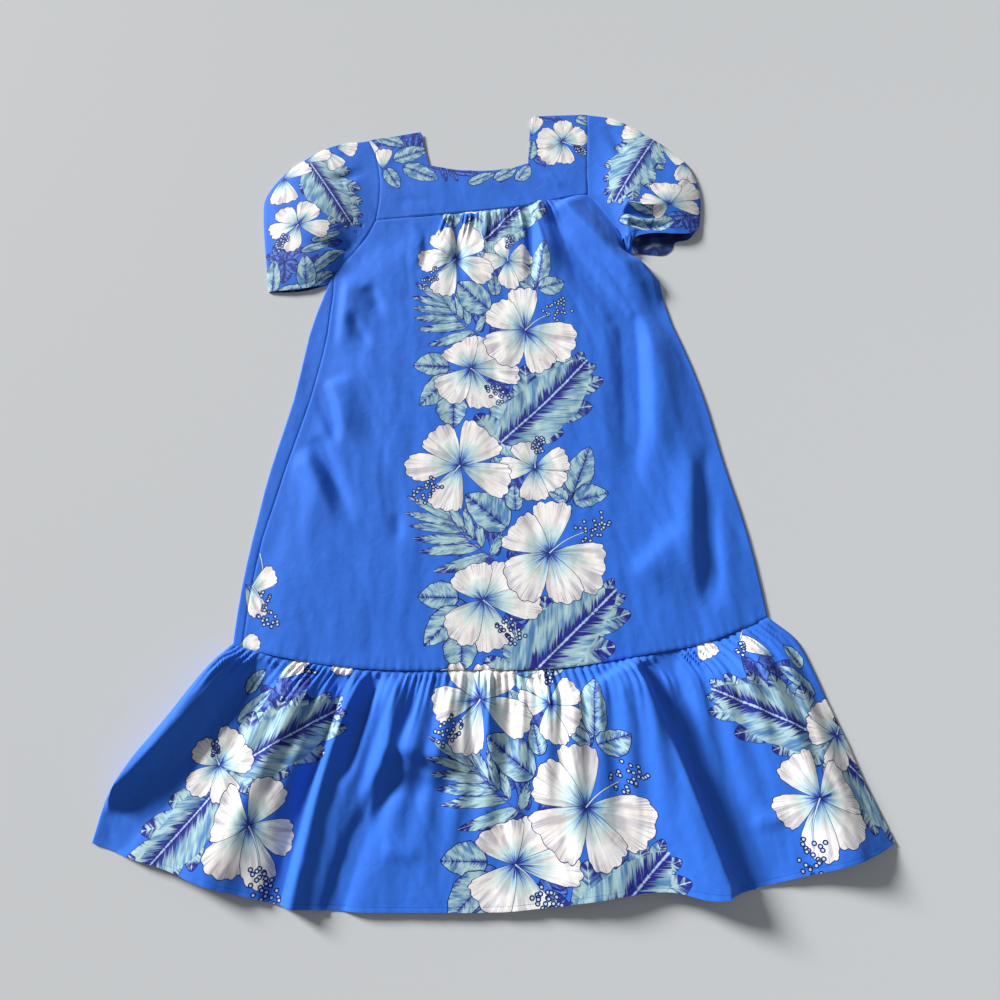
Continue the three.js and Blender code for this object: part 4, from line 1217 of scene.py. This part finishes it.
MATERIALS = {name: cotton(name, colour_of) for name, colour_of in {
    "ground": plain_colour(GROUND_BLUE),
    "ink": plain_colour(INK_BLUE),
    "pale": plain_colour(PALE_BLUE),
    "palm_rib": plain_colour(RIB_BLUE),
    "petal": motif_colour(PETAL_PRINT, ("out", "round", "number")),
    **{name: leaf_colour(leafing) for name, leafing in LEAVES.items()},
    # the wrong side of the cloth, its faint print darkened as painted shade
    "inside": shaded_inside_colour,
}.items()}
FINISHES = list(MATERIALS)
THREAD = cotton("thread", plain_colour(THREAD_BLUE))


# Cloth pieces

# From the tables' frame to the solids', by the left and upper ends of the outline
SHIFT = np.array([
    CAD_BOX[0][0] / MM - FLOUNCE_LEFT[-1][0],
    CAD_BOX[1][1] / MM - ARM_RIGHT_YOKE[0][1],
])


def to_metres(points, heights):
    return np.column_stack([points + SHIFT, heights]) * MM


def against_clock(outline):
    doubled_area = np.sum(cross(outline, np.roll(outline, -1, axis=0)))
    return outline if doubled_area > 0 else outline[::-1]


def printed(outline, grid, motifs):
    """Cuts a flat outline into triangles along the motifs' edges, and says which motif each shows."""
    low = outline.min(axis=0)
    high = outline.max(axis=0)
    shown = [
        motif for motif in motifs
        if np.all(motif.outline.max(axis=0) > low) and np.all(motif.outline.min(axis=0) < high)
    ]
    loops = [against_clock(loop) for loop in [outline] + [motif.outline for motif in shown]]
    firsts = np.cumsum([0] + [len(loop) for loop in loops])
    faces = [list(range(first, end)) for first, end in zip(firsts, firsts[1:])]
    points = [Vector(point) for point in np.vstack(loops + [grid])]
    found = geometry.delaunay_2d_cdt(points, [], faces, 1, 1e-5, True)
    places, _, triangles, _, _, origins = found
    places = np.array([tuple(place) for place in places])
    keep = [index for index, origin in enumerate(origins) if 0 in origin]
    triangles = np.array([triangles[index] for index in keep])
    top = np.array([max(origins[index]) - 1 for index in keep])
    used, triangles = np.unique(triangles, return_inverse=True)
    return places[used], triangles.reshape(-1, 3), top, shown


NUMBER_RANGE = 40  # motifs get an uneven number up to this, which tells their streaks apart
SLIVER = 1e-7  # area under which a triangle is dropped


def cloth_mesh(name, outline, grid, motifs, height):
    """A sheet with its print, as a mesh. Its outer face is at the given height."""
    places, triangles, top, shown = printed(outline, grid, motifs)
    a, b, c = places[triangles].swapaxes(0, 1)
    turn = cross(b - a, c - a)
    solid = np.abs(turn) > SLIVER
    triangles, top, turn = triangles[solid], top[solid], turn[solid]
    triangles = np.where((turn > 0)[:, None], triangles, triangles[:, ::-1])
    mesh = bpy.data.meshes.new(name)
    mesh.from_pydata(to_metres(places, height(places)).tolist(), [], triangles.tolist())
    looks = mesh.uv_layers.new(name="motif")
    numbers = mesh.attributes.new("motif_number", "FLOAT", "FACE")
    shares = np.zeros((len(triangles), 3, 2))
    number = np.zeros(len(triangles))
    finish = np.zeros(len(triangles), int)
    for index in np.unique(top[top >= 0]):
        motif = shown[index]
        group = np.flatnonzero(top == index)
        spot = on_print(motif.lay, places[triangles[group]].reshape(-1, 2)) - motif.base
        shares[group] = motif.look(turned(spot, -motif.turn), *motif.size).reshape(-1, 3, 2)
        number[group] = uneven(motif.number, 9) * NUMBER_RANGE
        finish[group] = FINISHES.index(motif.finish)
    looks.data.foreach_set("uv", shares.ravel())
    numbers.data.foreach_set("value", number)
    mesh.polygons.foreach_set("material_index", finish)
    return mesh


def panel_mesh(name, panel, across, down, motifs, height):
    return cloth_mesh(name, panel.outline(across, down), panel.inner(across, down), motifs, height)


def select_only(*pieces):
    bpy.ops.object.select_all(action="DESELECT")
    for piece in pieces:
        piece.select_set(True)
    bpy.context.view_layer.objects.active = pieces[0]


def thickened(mesh):
    piece = bpy.data.objects.new(mesh.name, mesh)
    bpy.context.scene.collection.objects.link(piece)
    for finish in FINISHES:
        mesh.materials.append(MATERIALS[finish])
    select_only(piece)
    solid = piece.modifiers.new("thickness", "SOLIDIFY")
    solid.thickness = THREADS * MM
    solid.offset = -1
    bpy.ops.object.modifier_apply(modifier=solid.name)
    return piece


SMOOTH_ANGLE = 50


def cloth_piece(*meshes, hollow=False):
    """One smooth object from its sheets. A hollow one shows the wrong side of its last sheet, painted
    dark as shade.
    """
    pieces = [thickened(mesh) for mesh in meshes]
    if hollow:
        # upward faces of the last sheet, seen inside the cuff, take the dark wrong-side colour, which is
        # painted shade
        for face in pieces[-1].data.polygons:
            if face.normal.z > 0.5:
                face.material_index = FINISHES.index("inside")
    select_only(*pieces)
    if len(pieces) > 1:
        bpy.ops.object.join()
    bpy.ops.object.shade_smooth_by_angle(angle=math.radians(SMOOTH_ANGLE))
    return pieces[0]


def make_front_body():
    return cloth_piece(panel_mesh(
        "front_body_cloth", front_body_panel, levels(170, 640), levels(130, 800), body_print(),
        front_body_height,
    ))


def make_back_body():
    flat = panel_mesh("back_body_cloth", back_body_panel, levels(44, 700), levels(52, 800),
                      body_print(), back_height(seed=31))
    strip = panel_mesh("left_strip", left_strip_panel, levels(8, 25), levels(160, 640, [1]),
                       strip_print(), strip_height)
    return cloth_piece(flat, strip)


def make_flounce_front():
    return cloth_piece(panel_mesh(
        "flounce_front_cloth", flounce_panel, levels(5 * FLOUNCE_GATHERS, 1000),
        levels(58, FLOUNCE_DEPTH), flounce_print(), flounce_height,
    ))


def make_flounce_back():
    return cloth_piece(panel_mesh(
        "flounce_back_cloth", flounce_panel, levels(80, 1000), levels(24, FLOUNCE_DEPTH),
        flounce_print(), back_height(seed=37),
    ))


# The yoke's outline against the clock: line, steps, and -1 where it runs against the line's way
YOKE_OUTLINE = [
    (ARM_LEFT_YOKE, 40, 1), (YOKE_SEAM, 110, 1), (ARM_RIGHT_YOKE, 40, -1),
    (NECK_RIGHT, 26, -1), (NECK_FRONT, 46, -1), (NECK_LEFT, 20, -1),
]
# Lines of points that follow the outline closely: line, steps and the way into the cloth
YOKE_RIMS = [
    (YOKE_SEAM, 110, (0, 1)), (NECK_FRONT, 110, (0, -1)), (ARM_LEFT_YOKE, 50, (1, 0)),
    (ARM_RIGHT_YOKE, 50, (-1, 0)), (NECK_LEFT, 50, (-1, 0)), (NECK_RIGHT, 50, (1, 0)),
]
RIM_INSETS = (0.9, 1.8, 3.0, 5.0)


def yoke_outline():
    parts = [stations(line, evenly(steps))[::way] for line, steps, way in YOKE_OUTLINE]
    points = np.vstack(parts)
    new = np.any(np.diff(points, axis=0) != 0, axis=1)
    return points[np.append(True, new)]


def yoke_grid(outline, spacing):
    low = outline.min(axis=0)
    high = outline.max(axis=0)
    x, y = np.meshgrid(np.arange(low[0], high[0], spacing), np.arange(low[1], high[1], spacing))
    x[1::2] += spacing / 2
    grid = np.column_stack([x.ravel(), y.ravel()])
    near = distance_to(grid, np.vstack([outline, outline[:1]]))
    rims = [
        stations(line, evenly(steps))[1:-1] + inset * np.array(way)
        for inset in RIM_INSETS for line, steps, way in YOKE_RIMS
    ]
    return np.vstack([grid[near > 0.6 * spacing]] + rims)


def make_yoke(name, height, spacing):
    outline = yoke_outline()
    return cloth_piece(cloth_mesh(name, outline, yoke_grid(outline, spacing), yoke_print(), height))


def make_back_yoke():
    return make_yoke("back_yoke_cloth", back_height(seed=47), 8)


def make_front_yoke():
    return make_yoke("front_yoke_cloth", yoke_height, 4.5)


def armhole(sleeve, trace):
    """The whole armhole as points, from its part on the yoke and its part on the body."""
    on_yoke, on_body = [trace(line) for line in sleeve.arm]
    return np.vstack([on_yoke, on_body[1:]])


def make_sleeve(name, sleeve, motifs):
    arm = armhole(sleeve, lambda line: stations(line, evenly(60)))
    front = sleeve_panel(arm, sleeve, sleeve.front_hem)
    back = sleeve_panel(arm, sleeve, sleeve.back_hem)
    upper = panel_mesh(name, front, levels(84, 300), levels(60, 200), motifs,
                       sleeve_height(front, sleeve, arm))
    lower = panel_mesh(name + "_back", back, levels(30, 300), levels(24, 200), motifs,
                       back_height(seed=41 + sleeve.side))
    return cloth_piece(upper, lower, hollow=True)


def make_sleeve_left():
    return make_sleeve("sleeve_left_cloth", SLEEVE_LEFT, sleeve_left_print())


def make_sleeve_right():
    return make_sleeve("sleeve_right_cloth", SLEEVE_RIGHT, sleeve_right_print())


# Stitches: how long, how thick, how far apart, and how far into the cloth they lie
STITCH_LENGTH = 2.4
STITCH_THICKNESS = 0.5
STITCH_SPACING = 3.3
STITCH_SINK = 0.05
STITCH_SIDES = 6
CUFF_ENDS = (0.06, 0.94)  # shares along a cuff between which it is sewn


def make_stitch(material):
    bpy.ops.object.select_all(action="DESELECT")
    bpy.ops.mesh.primitive_cylinder_add(
        vertices=STITCH_SIDES, radius=STITCH_THICKNESS / 2 * MM, depth=STITCH_LENGTH * MM,
        rotation=(0, math.pi / 2, 0),
    )
    bpy.ops.object.transform_apply(location=False, rotation=True, scale=False)
    stitch = bpy.context.object
    bpy.ops.object.mode_set(mode="EDIT")
    bpy.ops.mesh.select_mode(type="FACE")
    bpy.ops.mesh.select_all(action="DESELECT")
    bpy.ops.object.mode_set(mode="OBJECT")
    for face in stitch.data.polygons:
        face.select = abs(face.normal.x) > 0.9
    bpy.ops.object.mode_set(mode="EDIT")
    bpy.ops.mesh.inset(thickness=STITCH_THICKNESS / 5 * MM, depth=STITCH_THICKNESS / 3 * MM,
                       use_individual=True)
    bpy.ops.object.mode_set(mode="OBJECT")
    stitch.data.materials.append(material)
    return stitch


def sew(name, stitch, line, height):
    """A row of stitches along a line, on cloth of that height. It is one object."""
    line = smooth_line(line, 4)
    length = np.sum(np.hypot(*np.diff(line, axis=0).T))
    count = int(length / STITCH_SPACING)
    half_step = STITCH_LENGTH / 2 / length
    centres = (np.arange(count) + 0.5) / count
    ends = []
    for at in (centres - half_step, centres + half_step):
        places = pick(shares_of(line), line, at)
        ends.append(to_metres(places, height(places) - STITCH_SINK))
    copies = []
    for start, end in zip(*ends):
        copy = stitch.copy()
        copy.data = stitch.data.copy()
        bpy.context.scene.collection.objects.link(copy)
        turn = Vector(end - start).to_track_quat("X", "Z").to_matrix().to_4x4()
        turn.translation = Vector((start + end) / 2)
        copy.data.transform(turn)
        copies.append(copy)
    select_only(*copies)
    bpy.ops.object.join()
    row = copies[0]
    row.name = name + "_stitches"
    bpy.ops.object.shade_smooth()
    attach(row, "root")


def beside(line, distance):
    """A line beside the given one, to its left."""
    points = smooth_line(line, 6)
    way = np.gradient(points, axis=0)
    across = np.column_stack([-way[:, 1], way[:, 0]]) / np.hypot(*way.T)[:, None]
    return points + distance * across


def make_stitches():
    stitch = make_stitch(THREAD)
    for name, line, distance, part, height in (
        ("hem", HEM, HEM_STITCH, slice(2, -2, 6), flounce_height),
        ("neck", NECK_FRONT, -NECK_STITCH, slice(3, -3, 4), yoke_height),
        ("neck_left", NECK_LEFT, -NECK_STITCH, slice(1, -3, 4), yoke_height),
        ("neck_right", NECK_RIGHT, -NECK_STITCH, slice(3, -1, 4), yoke_height),
        ("yoke", YOKE_SEAM, SEAM_STITCH, slice(2, -2, 5), yoke_height),
    ):
        sew(name, stitch, beside(line, distance)[part], height)
    for name, sleeve in (("cuff_left", SLEEVE_LEFT), ("cuff_right", SLEEVE_RIGHT)):
        arm = armhole(sleeve, lambda line: smooth_line(line, 6))
        panel = sleeve_panel(arm, sleeve, sleeve.front_hem)
        cuff = beside(sleeve.front_hem, -sleeve.side * CUFF_STITCH)
        sewn = stations(cuff, np.linspace(*CUFF_ENDS, 16))
        sew(name, stitch, sewn, sleeve_height(panel, sleeve, arm))
    bpy.data.objects.remove(stitch)


# Stage, light and camera

FLOOR_GREY = (0.60, 0.62, 0.64, 1)
FLOOR_ROUGHNESS = 0.9
FLOOR_SIZE = 12
FLOOR_DROP = 0.0002  # below the cloth, so that their faces don't meet
WORLD_WHITE = (0.90, 0.94, 1.0, 1)
WORLD_STRENGTH = 0.17
KEY_PLACE = (-3.1, 2.45, 1.45)
KEY_POWER = 6.6
KEY_WHITE = (1.0, 0.985, 0.96)
KEY_ANGLE = 15
FILL_PLACE = (1.2, -0.6, 2.2)
FILL_POWER = 6
FILL_WHITE = (0.94, 0.97, 1.0)
FILL_SIZE = 2.4


def make_stage():
    bpy.ops.object.select_all(action="DESELECT")
    bpy.ops.mesh.primitive_plane_add(size=FLOOR_SIZE, location=(0, 0, -FLOOR_DROP))
    floor = bpy.context.object
    floor.name = "floor"
    material = bpy.data.materials.new("pale_floor")
    material.use_nodes = True
    shader = material.node_tree.nodes["Principled BSDF"]
    shader.inputs["Base Color"].default_value = FLOOR_GREY
    shader.inputs["Roughness"].default_value = FLOOR_ROUGHNESS
    floor.data.materials.append(material)


def add_light(name, kind, place, power, colour):
    """A light that points at the origin."""
    data = bpy.data.lights.new(name, kind)
    data.energy = power
    data.color = colour
    light = bpy.data.objects.new(name, data)
    light.location = place
    light.rotation_euler = (-Vector(place)).to_track_quat("-Z", "Y").to_euler()
    bpy.context.scene.collection.objects.link(light)
    return data


def make_lights():
    add_light("key", "SUN", KEY_PLACE, KEY_POWER, KEY_WHITE).angle = math.radians(KEY_ANGLE)
    add_light("fill", "AREA", FILL_PLACE, FILL_POWER, FILL_WHITE).size = FILL_SIZE
    world = bpy.data.worlds.new("studio")
    world.use_nodes = True
    background = world.node_tree.nodes["Background"]
    background.inputs["Color"].default_value = WORLD_WHITE
    background.inputs["Strength"].default_value = WORLD_STRENGTH
    bpy.context.scene.world = world
    bpy.context.scene.view_settings.view_transform = "Standard"


CAMERA_PLACE = (-12.5, -99.1, 1125)  # in the tables' frame
FOCAL_PIXELS = 740
IMAGE_PIXELS = 1000
SENSOR = 36
CAMERA_TILT = 18  # degrees from looking straight down
CAMERA_TURN = -2.91


def make_camera():
    data = bpy.data.cameras.new("camera")
    data.sensor_width = SENSOR
    data.sensor_fit = "AUTO"
    data.lens = FOCAL_PIXELS / IMAGE_PIXELS * SENSOR
    camera = bpy.data.objects.new("camera", data)
    x, y, z = CAMERA_PLACE
    camera.location = to_metres(np.array([[x, y]]), np.array([z]))[0]
    camera.rotation_euler = (math.radians(CAMERA_TILT), 0, math.radians(CAMERA_TURN))
    bpy.context.scene.collection.objects.link(camera)
    bpy.context.scene.camera = camera


def finish_cloth(piece, node):
    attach(piece, "root")
    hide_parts(node)


make_camera()
make_stage()
make_lights()

# Each cloth and the solid that it replaces
finish_cloth(make_back_body(), "back_body")
finish_cloth(make_flounce_back(), "flounce_back")
finish_cloth(make_back_yoke(), "back_yoke")
finish_cloth(make_sleeve_left(), "sleeve_left")
finish_cloth(make_sleeve_right(), "sleeve_right")
finish_cloth(make_front_yoke(), "front_yoke")
finish_cloth(make_front_body(), "front_body")
finish_cloth(make_flounce_front(), "flounce_front")
make_stitches()
